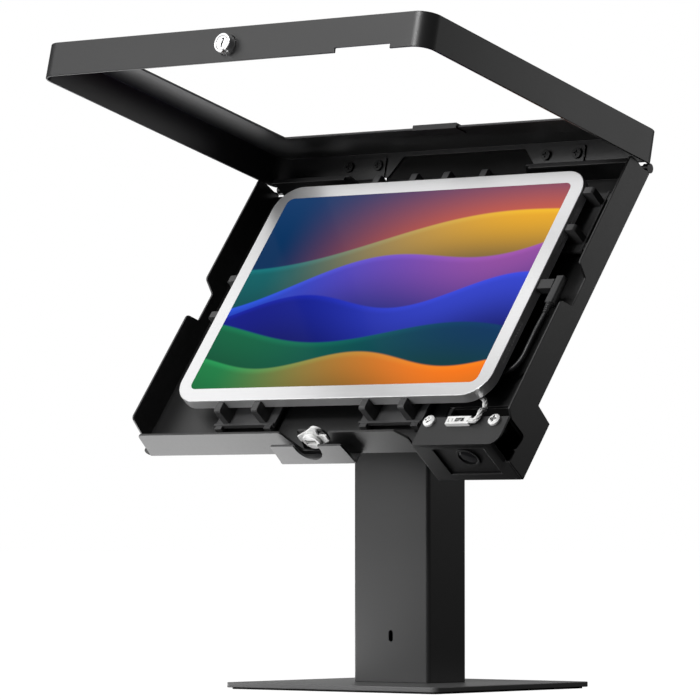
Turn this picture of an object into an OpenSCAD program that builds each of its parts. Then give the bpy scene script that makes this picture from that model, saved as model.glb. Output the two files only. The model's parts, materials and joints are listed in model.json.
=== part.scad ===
// Tablet security kiosk stand: a steel foot and column carry a sloping tray that grips a tablet
// behind a hinged, lockable window lid. All sizes are in millimetres and +Z is up.
// The origin is the centre of the foot's underside, and the front of the stand faces -Y.
// Head coordinates: x across, u up the slope from the tablet's centre, h out from the tray's back face.

/* [Tablet] */
// Width of the tablet
tablet_w = 247.6; // [246:0.2:250]
// Height of the tablet up the slope
tablet_h = 178.5; // [177:0.5:181]
// Thickness of the tablet
tablet_t = 7.5; // [6.5:0.1:8.5]
// Corner radius of the tablet
tablet_r = 18; // [12:1:20]
// Silver border around the lit screen
tablet_border = 10; // [8:0.5:12]

/* [Stand] */
// Width of the foot plate
base_w = 168; // [150:1:200]
// Depth of the foot plate
base_d = 156; // [140:1:190]
// Thickness of the foot plate
base_t = 3.2; // [3:0.1:5]
// Corner radius of the foot plate
base_r = 5; // [3:0.5:10]
// Thickness of the rubber sheet under the foot plate
pad_t = 1; // [0.8:0.1:2]
// Width of the column
column_w = 60; // [56:1:64]
// Depth of the column
column_d = 38; // [34:1:42]
// Wall of the column tube
column_wall = 2; // [1.5:0.1:2.5]
// Corner radius of the column tube
column_r = 2.5; // [2.5:0.5:5]
// How far the column stands behind the middle of the foot
column_back = 2.1; // [0:0.1:6]
// Height of the tray's back face on the column's axis
column_h = 254.6; // [240:0.2:280]
// Slope of the tray from level
tray_slope = 52; // [48:1:56]
// Height of the security slot above the floor
slot_z = 33; // [28:1:60]
// Height of the power inlet above the floor
inlet_z = 30; // [26:1:60]

/* [Tray] */
// Sheet thickness of the tray and the lid
sheet = 1.5; // [1.3:0.1:1.7]
// Room from the tablet's side to the outside of the side wall
side_room = 25.7; // [25.2:0.1:28]
// Room from the tablet's top to the top edge of the back panel
top_room = 10.75; // [10.5:0.05:12]
// Room from the tablet's foot to the outside of the bottom wall
bottom_room = 26.65; // [26:0.05:29]
// Room between the back panel and the tablet
under_room = 11.9; // [11.5:0.1:13.5]
// How far the walls stand above the tablet's face
wall_over = 0.3; // [0:0.1:0.6]
// Where the column's axis meets the back panel, up the slope from the tablet's centre
seat_u = 23; // [20:0.5:26]

/* [Head plate] */
// Thickness of the head plate under the tray
head_t = 1.6; // [1.5:0.1:2.5]
// Side of the square part of the head plate
head_size = 100; // [96:1:104]
// Pitch of the head bolts
bolt_pitch = 75; // [74:0.5:76]
// Distance from the bottom wall to the front of the keeper tab
keeper_out = 6.8; // [6.4:0.1:7]
// Width of the keeper tab and its tongue
keeper_w = 59; // [50:1:66]

/* [Clamps] */
// Width of a clamp's slide plate
clamp_w = 48; // [46:1:50]
// How far a slide plate stands out past the tablet's edge
clamp_reach = 9.5; // [9:0.1:9.6]
// Distance between a clamp's two fingers
finger_pitch = 30; // [28:0.5:32]
// Width of a finger
finger_w = 5; // [4:0.5:6]
// Travel of the bottom and side clamps
clamp_travel = 12; // [10:0.5:12]
// Travel of the top clamps
top_travel = 4; // [3:0.5:4]
// Bottom clamps, distance left of centre
bottom_left_x = 67.5; // [60:0.5:75]
// Bottom clamps, distance right of centre
bottom_right_x = 48.6; // [44:0.2:54]
// Top clamps, distance left of centre
top_left_x = 34; // [32:0.5:44]
// Top clamps, distance right of centre
top_right_x = 22; // [20:0.5:30]
// Left clamp, distance below the tablet's centre
left_clamp_u = 1.4; // [0:0.2:8]
// Right clamp, distance above the tablet's centre
right_clamp_u = 58.2; // [54:0.2:60]

/* [Lid] */
// Clear gap between the tray and the closed lid
lid_gap = 1.2; // [1.1:0.1:1.6]
// Depth of the lid's skirt
lid_depth = 21.9; // [21:0.1:22.2]
// Corner radius of the lid
lid_r = 11; // [8:1:14]
// Width of the lid's frame at each side of the window
side_strip = 34; // [30:0.5:38]
// Width of the lid's frame at each end of the window
end_strip = 40; // [36:0.5:44]
// How far the lid stands open
lid_open = 66; // [60:1:75]
// Length of the sliding camera cover
shutter_w = 35; // [30:1:45]
// camera cover's place right of the middle
shutter_x = 6; // [4:0.5:8]

/* [Hinge] */
// Radius of the hinge rod
pin_r = 2; // [1.8:0.1:2.2]
// Radius of the hinge knuckles
knuckle_r = 3.5; // [3.3:0.1:3.6]
// Distance from the back panel's top edge to the hinge axis
hinge_out = 6; // [5.8:0.1:6.4]
// Hinge axis above the back panel's outer face
hinge_h = 0.9; // [0.6:0.1:1.2]

/* [Lock] */
// Radius of the push lock's plunger
plunger_r = 6.1; // [5.6:0.1:6.4]
// How far the plunger stands out when unlocked
plunger_out = 5.6; // [5.5:0.1:6]
// Push that locks the lid
push_travel = 5.2; // [5:0.1:5.4]
// Lock axis below the lid's top face
lock_drop = 11.6; // [11.4:0.1:12]

/* [Scanner] */
// Width of the scanner module
module_w = 64; // [60:0.5:66]
// How far the scanner's face stands out past the bottom wall
module_out = 9.4; // [9:0.1:9.8]
// Depth of the scanner module below the tray's back face
module_drop = 15.5; // [14:0.5:20]
// Radius of the scanner's lens
lens_r = 7.8; // [6:0.2:9]

/* [Leads] */
// Radius of the charging lead
lead_r = 1.5; // [1.2:0.1:1.6]
// Radius of the scanner's wire bundle
bundle_r = 1.7; // [1.4:0.1:1.8]

/* [Hidden] */
$fn = 48;
// small overlap that lets cuts run past a face
eps = 0.5;
// clearances
touch_gap = 0.1;
running_gap = 0.05;
round_gap = 0.3;
// steps in a rounded corner of a sheet outline
corner_steps = 5;

// heights out from the tray's back face
tablet_back = sheet + under_room;
tablet_face = tablet_back + tablet_t;
rim_h = tablet_face + wall_over;
lid_in_h = rim_h + lid_gap;
lid_top_h = lid_in_h + sheet;
lid_rim_h = lid_top_h - lid_depth;
lock_h = lid_top_h - lock_drop;

// places up the slope
top_u = tablet_h / 2 + top_room;
bottom_u = -tablet_h / 2 - bottom_room;
hinge_u = top_u + hinge_out;
keeper_u = bottom_u - keeper_out;
module_u = bottom_u - module_out;
lid_back_u = hinge_u + 2;
lid_front_in = module_u - 1.7;
lid_front_u = lid_front_in - sheet;
lid_len = lid_back_u - lid_front_u;
lid_mid_u = (lid_back_u + lid_front_u) / 2;
tray_half = tablet_w / 2 + side_room;
lid_half = tray_half + lid_gap + sheet;
window_top_u = lid_back_u - end_strip;
window_foot_u = lid_front_u + end_strip;

// stand
base_top = pad_t + base_t;
foot_t = 4;
foot_screw_x = 18;
foot_screw_y = 9;

// clamps, in their own frame: Y points away from the tablet
rail_t = 3.5;
rail_top = sheet + rail_t;
plate_t = 2;
plate_top = rail_top + plate_t;
screw_in = 12;
screw_x = 8;
screw_r = 2;
screw_head_r = 3.8;
screw_head_t = 2.2;
rail_x = 20;
rail_w = 4;
lip_t = 1.8;
lip_h = 1.2;
finger_out = clamp_reach - lip_t;
finger_top = tablet_face - 1;
step_in = 8;
foot_out = 2.5;
foot_w = 5.5;
foot_top = plate_top + 0.6;
foot_low = sheet + 0.7;
// low part of the tray's top wall, behind the top clamps
top_cut_left = top_left_x + clamp_w / 2 + 12;
top_cut_right = top_right_x + clamp_w / 2 + 14;

// lock catch
catch_face = bottom_u - 1.2;
catch_r = 6;
catch_t = 2;
socket_r = 5;
cavity_r = 4.4;
bar_long = 7;
bar_thick = 2.6;
bar_deep = 1.6;
bar_tip = catch_face - 1.1;
core_r = 4.2;

// scanner module
module_x = tray_half - module_w;
module_top = rim_h - 2.8;
shelf_u = module_u + 21.3;
module_back = bottom_u + 34.4;
panel_right = tray_half - 12.5;
panel_left = module_x + 13.3;
lens_x = module_x + 34.5;
panel_edge = 2;
panel_foot = -9.7;
panel_head = module_top - 4.5;
// wall of the scanner's housing
module_wall = 1.5;
cover_screw_x = [module_x + 5.7, tray_half - 9.3];
cover_screw_u = shelf_u - 3.5;
// rounded corner that the scanner keeps inside the closed lid's own
corner_x = lid_half - lid_r;
corner_u = lid_front_u + lid_r;
corner_r = lid_r - sheet - lid_gap;
corner_h = lid_rim_h - 0.8;
lens_h = 4.9;

// hinge pieces along X
lug_w = 22;
lug_inset = 11.5;
leaf_w = 35;
leaf_inset = 19;
lug_out = tray_half - lug_inset;
lug_in = lug_out - lug_w;
lug_x = (lug_in + lug_out) / 2;
leaf_out = lug_in - leaf_inset;
leaf_in = leaf_out - leaf_w;
leaf_x = (leaf_in + leaf_out) / 2;
leaf_screw_x = 12;
leaf_screw_h = lid_in_h - 9;
rim_lift = hinge_h + knuckle_r + 1.3;
// sheet that closes the rear wall's opening from behind
back_strip_t = 1.2;
back_strip_foot = hinge_h + 1.5;
// tray's top wall: open corner at the left, turned-in edge
top_wall_h = rim_h - 3.3;
top_gap = 9.5;
top_edge_w = 3.6;
// how far the side walls pass the top wall
ear_out = hinge_out - 3.6;

// head coordinates to world coordinates
function world(p) = [
    p.x,
    column_back + (p.y - seat_u) * cos(tray_slope) - p.z * sin(tray_slope),
    column_h + (p.y - seat_u) * sin(tray_slope) + p.z * cos(tray_slope)
];

// points of a rounded outline, each given as [x, y, corner radius]
function unit(v) = v / norm(v);
function flat(p) = [p.x, p.y];
function turn(a, b) = let (d = b - a) d > 180 ? d - 360 : (d < -180 ? d + 360 : d);
function corner(p, a, b, r) = r <= 0 ? [p] :
    let (
        to_a = unit(a - p),
        to_b = unit(b - p),
        half = acos(to_a * to_b) / 2,
        mid = p + unit(to_a + to_b) * r / sin(half),
        from = p + to_a * r / tan(half) - mid,
        upto = p + to_b * r / tan(half) - mid,
        start = atan2(from.y, from.x),
        sweep = turn(start, atan2(upto.y, upto.x))
    )
    [for (i = [0 : corner_steps])
        mid + r * [cos(start + sweep * i / corner_steps), sin(start + sweep * i / corner_steps)]];
function outline(pts) = [for (i = [0 : len(pts) - 1])
    each corner(flat(pts[i]), flat(pts[(i + len(pts) - 1) % len(pts)]), flat(pts[(i + 1) % len(pts)]),
        pts[i].z)];

// a smooth path through route points
function blend(a, b, c, d, t) = 0.5 * (2 * b + (c - a) * t + (2 * a - 5 * b + 4 * c - d) * t * t
    + (3 * b - a - 3 * c + d) * t * t * t);
function smooth_path(p, steps) = [
    for (i = [0 : len(p) - 2])
        for (s = [0 : steps - 1])
            blend(p[max(i - 1, 0)], p[i], p[i + 1], p[min(i + 2, len(p) - 1)], s / steps),
    p[len(p) - 1]
];
function headings(p) = [for (i = [0 : len(p) - 1]) unit(p[min(i + 1, len(p) - 1)] - p[max(i - 1, 0)])];
function square_to(v, t) = unit(v - (v * t) * t);
function sides_of(t, first) = [
    for (i = 0, v = square_to(first, t[0]); i < len(t); i = i + 1, v = i < len(t) ? square_to(v, t[i]) : v) v
];

// charging lead: from the plug, behind the tablet, through the grommet and down the column
lead_x = tablet_w / 2 + 14.2;
lead_h = tablet_face - 3.7;
lead_head = [
    [lead_x, -15, lead_h],
    [lead_x - 0.5, -22, lead_h - 0.4],
    [lead_x - 3, -33, lead_h - 2],
    [lead_x - 5, -44, lead_h - 4],
    [lead_x - 8, -54, lead_h - 6.5],
    [lead_x - 14, -61, 9.5],
    [lead_x - 24, -62, 9],
    [96, -54, 9],
    [70, -34, 9],
    [42, -8, 9],
    [16, 18, 9],
    [5, 26, 7],
    [3, seat_u + 4, 2],
    [3, seat_u + 3, -4]
];
lead_column = [
    [6, column_back + 4, column_h - 30],
    [8, column_back + 2, column_h - 80],
    [8, column_back - 2, column_h - 140],
    [8, column_back - 1, inlet_z + 30],
    [7, column_back + 1, inlet_z + 8],
    [6, column_back + column_d / 2 - 14, inlet_z]
];
lead_route = concat([for (p = lead_head) world(p)], lead_column);

// scanner wires: from their connector, behind the tablet, through the grommet and down the column
wire_x = module_x + 39.5;
wire_h = module_top + bundle_r + 0.15;
wire_head = [
    [wire_x - 3, bottom_u + 7.2, wire_h],
    [wire_x + 1.6, bottom_u + 7.4, wire_h],
    [wire_x + 3.2, bottom_u + 10.4, wire_h],
    [wire_x + 2.2, bottom_u + 15.2, wire_h - 0.8],
    [wire_x - 2.2, bottom_u + 22, 12.8],
    [wire_x - 6, bottom_u + 27, 10.4],
    [wire_x - 12, bottom_u + 34, 9],
    [86, -68, 9],
    [60, -50, 9],
    [30, -20, 9],
    [8, 8, 9],
    [0, 14, 7],
    [-3, seat_u - 4, 2],
    [-3, seat_u - 5, -4]
];
wire_column = [
    [-6, column_back - 4, column_h - 36],
    [-8, column_back - 2, column_h - 80],
    [-8, column_back - 2, column_h - 140],
    [-8, column_back - 1, inlet_z + 30],
    [-7, column_back + 1, inlet_z + 8],
    [-6, column_back + column_d / 2 - 14, inlet_z]
];
wire_route = concat([for (p = wire_head) world(p)], wire_column);

// frames
module at_head() {
    translate([0, column_back, column_h])
        rotate([tray_slope, 0, 0])
            translate([0, -seat_u, 0])
                children();
}

module at_lid() {
    at_head()
        translate([0, hinge_u, hinge_h])
            rotate([-lid_open, 0, 0])
                translate([0, -hinge_u, -hinge_h])
                    children();
}

module along_u(x, u, h) {
    translate([x, u, h])
        rotate([-90, 0, 0])
            children();
}

// sheet pieces
module slab_x(x, t, pts) {
    translate([x, 0, 0])
        rotate([90, 0, 90])
            linear_extrude(t)
                polygon(pts);
}

module slab_u(u, t, pts) {
    translate([0, u + t, 0])
        rotate([90, 0, 0])
            linear_extrude(t)
                polygon(pts);
}

module block(a, b) {
    translate(a)
        cube(b - a);
}

// what the closed lid's rounded corner takes off a square corner, apart from a round stub
module lid_corner(stub_r) {
    translate([corner_x, corner_u, corner_h])
        linear_extrude(lid_top_h)
            difference() {
                translate([0, -2 * lid_r])
                    square(2 * lid_r);
                circle(stub_r);
            }
}

module round_rect(w, d, r) {
    square([w - 2 * r, d], center = true);
    square([w, d - 2 * r], center = true);
    for (x = [-1, 1], y = [-1, 1])
        translate([x * (w / 2 - r), y * (d / 2 - r)])
            circle(r);
}

module tube(p, r, sides) {
    dirs = headings(p);
    outs = sides_of(dirs, [0.31, 0.17, 1]);
    rings = len(p);
    pts = [for (i = [0 : rings - 1], k = [0 : sides - 1])
        p[i] + r * (cos(360 * k / sides) * outs[i] + sin(360 * k / sides) * cross(dirs[i], outs[i]))];
    walls = [for (i = [0 : rings - 2], k = [0 : sides - 1])
        [(i + 1) * sides + k, (i + 1) * sides + (k + 1) % sides, i * sides + (k + 1) % sides, i * sides + k]];
    first = [for (k = [0 : sides - 1]) k];
    last = [for (k = [0 : sides - 1]) (rings - 1) * sides + sides - 1 - k];
    polyhedron(pts, concat([first], walls, [last]));
}

// stand pieces
module base_pad() {
    color([0.07, 0.07, 0.07])
        linear_extrude(pad_t)
            round_rect(base_w - 6, base_d - 6, base_r - 2);
}

module base_plate() {
    color([0.2, 0.2, 0.2])
        difference() {
            translate([0, 0, pad_t])
                linear_extrude(base_t)
                    round_rect(base_w, base_d, base_r);
            for (x = [-1, 1], y = [-1, 1])
                translate([x * foot_screw_x, column_back + y * foot_screw_y, pad_t]) {
                    translate([0, 0, -eps])
                        cylinder(r = 2.6, h = base_t + 2 * eps);
                    translate([0, 0, -0.01])
                        cylinder(r1 = 4.6, r2 = 2.6, h = 2);
                }
        }
}

module base_screws() {
    color([0.75, 0.75, 0.77])
        for (x = [-1, 1], y = [-1, 1])
            translate([x * foot_screw_x, column_back + y * foot_screw_y, pad_t]) {
                cylinder(r1 = 4.4, r2 = 2.4, h = 2);
                cylinder(r = 2.4, h = base_t + foot_t + 1.5);
            }
}

module column_foot() {
    in_w = column_w - 2 * column_wall;
    in_d = column_d - 2 * column_wall;
    color([0.3, 0.3, 0.3])
        difference() {
            translate([0, column_back, base_top])
                linear_extrude(foot_t)
                    round_rect(in_w, in_d, column_r - column_wall + 0.8);
            for (x = [-1, 1], y = [-1, 1])
                translate([x * foot_screw_x, column_back + y * foot_screw_y, base_top - eps])
                    cylinder(r = 2.45, h = foot_t + 2 * eps);
        }
}

module column_tube() {
    color([0.2, 0.2, 0.2])
        difference() {
            translate([0, column_back, base_top])
                linear_extrude(column_h + 2 * column_d)
                    difference() {
                        round_rect(column_w, column_d, column_r);
                        round_rect(column_w - 2 * column_wall, column_d - 2 * column_wall,
                            column_r - column_wall + 0.7);
                    }
            at_head()
                block([-200, -300, -head_t], [200, 400, 400]);
            // slot for a security cable's T-bar
            translate([0, column_back - column_d / 2, slot_z]) {
                block([-1.5, -eps, -2], [1.5, column_wall + eps, 2]);
                for (z = [-2, 2])
                    translate([0, -eps, z])
                        rotate([-90, 0, 0])
                            cylinder(r = 1.5, h = column_wall + 2 * eps);
            }
            // cut-out for the power inlet
            translate([0, column_back + column_d / 2, inlet_z])
                block([-13.1, -column_wall - eps, -5.1], [13.1, eps, 5.1]);
        }
}

module power_inlet() {
    color([0.1, 0.1, 0.1])
        translate([0, column_back + column_d / 2, inlet_z])
            difference() {
                union() {
                    block([-16, 0, -8], [16, 1.6, 8]);
                    block([-13, -14, -5], [13, 0.1, 5]);
                }
                block([2, -9, -2.5], [10, 3, 2.5]);
                translate([-6, -8, 0])
                    rotate([-90, 0, 0])
                        cylinder(r = 3, h = 12);
                for (x = [-6, 6])
                    translate([x, -15, 0])
                        rotate([-90, 0, 0])
                            cylinder(r = 2.5, h = 4);
            }
}

// head plate with the up-turned keeper tab in front
module head_plate() {
    half = head_size / 2;
    color([0.33, 0.33, 0.34])
        at_head()
            difference() {
                union() {
                    translate([0, seat_u, -head_t])
                        linear_extrude(head_t)
                            round_rect(head_size, head_size, 4);
                    block([-keeper_w / 2, keeper_u, -head_t], [keeper_w / 2, seat_u - half + 4, 0]);
                    slab_u(keeper_u, head_t, outline([
                        [-keeper_w / 2, -head_t, 0],
                        [-keeper_w / 2 + 1.5, rim_h - 5.3, 1],
                        [keeper_w / 2 - 1.5, rim_h - 5.3, 1],
                        [keeper_w / 2, -head_t, 0]
                    ]));
                }
                // U-shaped notch that the lid's lock drops into
                along_u(0, keeper_u - eps, lock_h)
                    cylinder(r = plunger_r + 3.4, h = head_t + 2 * eps);
                block([-plunger_r - 3.4, keeper_u - eps, lock_h],
                    [plunger_r + 3.4, keeper_u + head_t + eps, rim_h + 5]);
                for (x = [-1, 1], u = [-1, 1])
                    translate([x * bolt_pitch / 2, seat_u + u * bolt_pitch / 2, -head_t - eps])
                        cylinder(r = 2.2, h = head_t + 2 * eps);
                translate([0, seat_u, -head_t - eps])
                    cylinder(r = 9, h = head_t + 2 * eps);
            }
}

module head_bolts() {
    color([0.7, 0.7, 0.72])
        at_head()
            for (x = [-1, 1], u = [-1, 1])
                translate([x * bolt_pitch / 2, seat_u + u * bolt_pitch / 2, 0]) {
                    translate([0, 0, sheet])
                        cylinder(r = 3.8, h = 2.4);
                    translate([0, 0, -head_t - 4])
                        cylinder(r = 2, h = head_t + 4 + sheet + 0.1);
                    translate([0, 0, -head_t - 3.2])
                        cylinder(r = 4.04, h = 3.2, $fn = 6);
                }
}

// tray
// upper end of a side wall, beside the hinge rod
function tray_ear() = [
    [top_u - 1, rim_h, 2],
    [top_u + ear_out - 1.3, 5.2, 0],
    [top_u + ear_out, 3, 0]
];
function tray_notch() = [[-17, rim_h, 3], [-13, rim_h - 10.6, 1.5], [9, rim_h - 10.6, 1.5], [13, rim_h, 3]];

module tray_shell() {
    color([0.1, 0.1, 0.1])
        at_head()
            difference() {
                union() {
                    // back panel
                    linear_extrude(sheet)
                        polygon(outline([
                            [-tray_half, top_u, 0],
                            [-tray_half, bottom_u + 13, 0],
                            [-tray_half + 9.5, bottom_u, 0],
                            [module_x - 9.5, bottom_u, 0],
                            [module_x - 1.5, bottom_u + 8, 0],
                            [module_x - 1.5, module_back - 1, 0],
                            [tray_half, module_back - 1, 0],
                            [tray_half, top_u, 0]
                        ]));
                    // left wall
                    slab_x(-tray_half, sheet, outline(concat([
                        [top_u + ear_out, 0, 0],
                        [bottom_u + 13, 0, 0],
                        [bottom_u + 11.2, 7, 0],
                        [bottom_u + 14, rim_h, 3]],
                        tray_notch(),
                        tray_ear())));
                    // right wall, with the flare and the finger scoop beside the scanner
                    slab_x(tray_half - sheet, sheet, outline(concat([
                        [top_u + ear_out, 0, 0],
                        [module_back + 0.3, 0, 0],
                        [module_back - 1.5, -module_drop + 0.1, 0],
                        [module_u, -module_drop + 0.1, 0],
                        [module_u, 10.9, 0],
                        [module_u + 3.6, 6.7, 6],
                        [module_u + 10, 1, 8],
                        [module_u + 20.8, -0.6, 2.5],
                        [module_u + 21, 15.4, 3],
                        [module_u + 24.8, rim_h, 1.5]],
                        tray_notch(),
                        tray_ear())));
                    // bottom wall, dipped around the lock catch
                    slab_u(bottom_u, sheet, outline([
                        [-tray_half + 9.5, 0, 0],
                        [-tray_half + 12.3, rim_h - 0.6, 3],
                        [-21, rim_h - 0.6, 2],
                        [-13.5, 3, 4],
                        [13.5, 3, 4],
                        [17, rim_h - 0.6, 2],
                        [module_x - 17.1, rim_h - 0.6, 1],
                        [module_x - 10.2, rim_h - 7.9, 1],
                        [module_x - 10.2, 0, 0]
                    ]));
                    // top wall, cut low behind the top clamps
                    slab_u(top_u - sheet, sheet, outline([
                        [-tray_half + top_gap, 0, 0],
                        [-tray_half + top_gap, top_wall_h, 0],
                        [-top_cut_left - 6, top_wall_h, 2],
                        [-top_cut_left, 4.2, 2],
                        [top_cut_right, 4.2, 2],
                        [top_cut_right + 6, top_wall_h, 2],
                        [tray_half - 0.2, top_wall_h, 0],
                        [tray_half - 0.2, 0, 0]
                    ]));
                    block([-tray_half + top_gap, top_u - top_edge_w, top_wall_h - sheet],
                        [-top_cut_left - 9, top_u - 0.1, top_wall_h]);
                    block([top_cut_right + 9, top_u - top_edge_w, top_wall_h - sheet],
                        [tray_half - 0.2, top_u - 0.1, top_wall_h]);
                    // hinge lugs rolled from the back panel
                    for (s = [-1, 1])
                        translate([s * lug_x, 0, 0]) {
                            block([-lug_w / 2, top_u - 1, 0],
                                [lug_w / 2, hinge_u - pin_r - 0.6, sheet]);
                            translate([-lug_w / 2, hinge_u, hinge_h])
                                rotate([0, 90, 0])
                                    cylinder(r = knuckle_r, h = lug_w);
                        }
                }
                lid_corner(eps);
                // bore for the hinge rod
                translate([-tray_half, hinge_u, hinge_h])
                    rotate([0, 90, 0])
                        cylinder(r = pin_r + running_gap, h = 2 * tray_half);
                for (x = [-1, 1], u = [-1, 1])
                    translate([x * bolt_pitch / 2, seat_u + u * bolt_pitch / 2, -eps])
                        cylinder(r = 2.2, h = sheet + 2 * eps);
                translate([0, seat_u, -eps])
                    cylinder(r = 9, h = sheet + 2 * eps);
                each_clamp_screw()
                    translate([0, 0, -eps])
                        cylinder(r = screw_r + 0.02, h = sheet + 2 * eps);
            }
}

module corner_bumper() {
    color([0.16, 0.16, 0.16])
        at_head()
            difference() {
                along_u(-tray_half + 8.3, bottom_u + sheet, 2)
                    cylinder(r = 3.2, h = 5);
                // slot for the back panel's corner
                linear_extrude(sheet)
                    polygon([
                        [-tray_half, bottom_u + 13],
                        [-tray_half + 9.5, bottom_u],
                        [0, bottom_u],
                        [0, bottom_u + 13]
                    ]);
            }
}

module cable_grommet() {
    color([0.05, 0.05, 0.05])
        at_head()
            translate([0, seat_u, 0])
                rotate_extrude()
                    polygon([
                        [7.4, -head_t - 1.4],
                        [10.6, -head_t - 1.4],
                        [10.6, -head_t],
                        [8.95, -head_t],
                        [8.95, sheet],
                        [10.6, sheet],
                        [10.6, sheet + 1.4],
                        [7.4, sheet + 1.4]
                    ]);
}

// clamps
module bottom_place(x) {
    translate([x, -tablet_h / 2, 0])
        rotate([0, 0, 180])
            children();
}

module top_place(x) {
    translate([x, tablet_h / 2, 0])
        children();
}

module left_place() {
    translate([-tablet_w / 2, -left_clamp_u, 0])
        rotate([0, 0, 90])
            children();
}

module right_place() {
    translate([tablet_w / 2, right_clamp_u, 0])
        rotate([0, 0, -90])
            children();
}

module each_clamp() {
    bottom_place(-bottom_left_x)
        children();
    bottom_place(bottom_right_x)
        children();
    top_place(-top_left_x)
        children();
    top_place(top_right_x)
        children();
    left_place()
        children();
    right_place()
        children();
}

module each_clamp_screw() {
    each_clamp()
        for (x = [-screw_x, screw_x])
            translate([x, -screw_in, 0])
                children();
}

module clamp_rails() {
    color([0.28, 0.28, 0.29])
        at_head()
            each_clamp()
                for (x = [-rail_x, rail_x])
                    block([x - rail_w / 2, -screw_in - 10, sheet],
                        [x + rail_w / 2, clamp_reach - 1, rail_top]);
}

module clamp_screws() {
    color([0.78, 0.78, 0.8])
        at_head()
            each_clamp_screw()
                difference() {
                    union() {
                        cylinder(r = screw_r, h = plate_top + touch_gap + 0.5);
                        translate([0, 0, plate_top + touch_gap])
                            cylinder(r = screw_head_r, h = screw_head_t);
                    }
                    translate([0, 0, plate_top + touch_gap + screw_head_t - 1])
                        cylinder(r = 1.6, h = 2, $fn = 6);
                }
}

// slide plate with a lip, the two steps that the tablet lies on and, where there is room, two feet
module clamp(travel, feet = true) {
    inner = -screw_in - travel - 6;
    color([0.17, 0.17, 0.18])
        difference() {
            union() {
                block([-clamp_w / 2, inner, rail_top], [clamp_w / 2, clamp_reach, plate_top]);
                block([-clamp_w / 2, finger_out, plate_top - 0.1],
                    [clamp_w / 2, clamp_reach, plate_top + lip_h]);
                for (x = [-finger_pitch / 2, finger_pitch / 2])
                    slab_x(x - finger_w / 2, finger_w, outline([
                        [-step_in, plate_top - 0.1, 0],
                        [-step_in, tablet_back, 1],
                        [touch_gap, tablet_back, 0],
                        [touch_gap, plate_top - 0.1, 0]
                    ]));
                if (feet)
                    for (x = [-rail_x, rail_x])
                        block([x - foot_w / 2, clamp_reach - 0.3, foot_low],
                            [x + foot_w / 2, clamp_reach + foot_out, foot_top]);
            }
            for (x = [-screw_x, screw_x])
                translate([x, 0, rail_top - eps]) {
                    for (y = [-screw_in, -screw_in - travel])
                        translate([0, y, 0])
                            cylinder(r = screw_r + round_gap, h = plate_t + 2 * eps);
                    block([-screw_r - round_gap, -screw_in - travel, 0],
                        [screw_r + round_gap, -screw_in, plate_t + 2 * eps]);
                }
        }
}

// the two upright fingers that bear on the tablet's edge
module fingers() {
    color([0.17, 0.17, 0.18])
        for (x = [-finger_pitch / 2, finger_pitch / 2])
            slab_x(x - finger_w / 2, finger_w, outline([
                [touch_gap, plate_top, 0],
                [touch_gap, finger_top, 0.6],
                [finger_out, finger_top, 2],
                [finger_out, plate_top, 0]
            ]));
}

module clamp_bottom_left() {
    at_head()
        bottom_place(-bottom_left_x)
            clamp(clamp_travel);
}

module clamp_bottom_right() {
    at_head()
        bottom_place(bottom_right_x)
            clamp(clamp_travel);
}

module clamp_top_left() {
    at_head()
        top_place(-top_left_x)
            clamp(top_travel, false);
}

module clamp_top_right() {
    at_head()
        top_place(top_right_x)
            clamp(top_travel, false);
}

module clamp_left() {
    at_head()
        left_place()
            clamp(clamp_travel);
}

module clamp_right() {
    at_head()
        right_place()
            clamp(clamp_travel);
}

module fingers_bottom_left() {
    at_head()
        bottom_place(-bottom_left_x)
            fingers();
}

module fingers_bottom_right() {
    at_head()
        bottom_place(bottom_right_x)
            fingers();
}

module fingers_top_left() {
    at_head()
        top_place(-top_left_x)
            fingers();
}

module fingers_top_right() {
    at_head()
        top_place(top_right_x)
            fingers();
}

module fingers_left() {
    at_head()
        left_place()
            fingers();
}

module fingers_right() {
    at_head()
        right_place()
            fingers();
}

// tablet
module tablet_body() {
    color([0.86, 0.87, 0.88])
        at_head()
            difference() {
                translate([0, 0, tablet_back])
                    linear_extrude(tablet_t)
                        round_rect(tablet_w, tablet_h, tablet_r);
                translate([0, 0, tablet_face - 1])
                    linear_extrude(1 + eps)
                        round_rect(tablet_w - 2 * tablet_border, tablet_h - 2 * tablet_border, 5);
                // room for the battery and boards
                translate([0, 0, tablet_back + 1.6])
                    linear_extrude(tablet_t)
                        round_rect(tablet_w - 2 * tablet_border - 6, tablet_h - 2 * tablet_border - 6, 5);
                // port for the charging plug
                block([tablet_w / 2 - 7, -6, tablet_face - 5.2], [tablet_w / 2 + eps, 3, tablet_face - 2.4]);
            }
}

module tablet_screen() {
    color([0.2, 0.45, 0.75])
        at_head()
            translate([0, 0, tablet_face - 1])
                linear_extrude(1)
                    round_rect(tablet_w - 2 * tablet_border - 0.1, tablet_h - 2 * tablet_border - 0.1, 5);
}

module charging_plug() {
    edge = tablet_w / 2;
    color([0.2, 0.2, 0.21])
        at_head() {
            block([edge + 0.3, -5.5, tablet_face - 6.5], [edge + 11.3, 2, tablet_face - 1.2]);
            difference() {
                slab_u(-16.5, 21, outline([
                    [edge + 11.2, tablet_face - 6.5, 1],
                    [edge + 17.2, tablet_face - 6.5, 1],
                    [edge + 17.2, tablet_face - 1.2, 1],
                    [edge + 11.2, tablet_face - 1.2, 1]
                ]));
                along_u(lead_x, -17, lead_h)
                    cylinder(r = lead_r + 0.1, h = 2.5);
            }
        }
}

module charging_lead() {
    color([0.12, 0.12, 0.13])
        tube(smooth_path(lead_route, 3), lead_r, 8);
}

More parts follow.
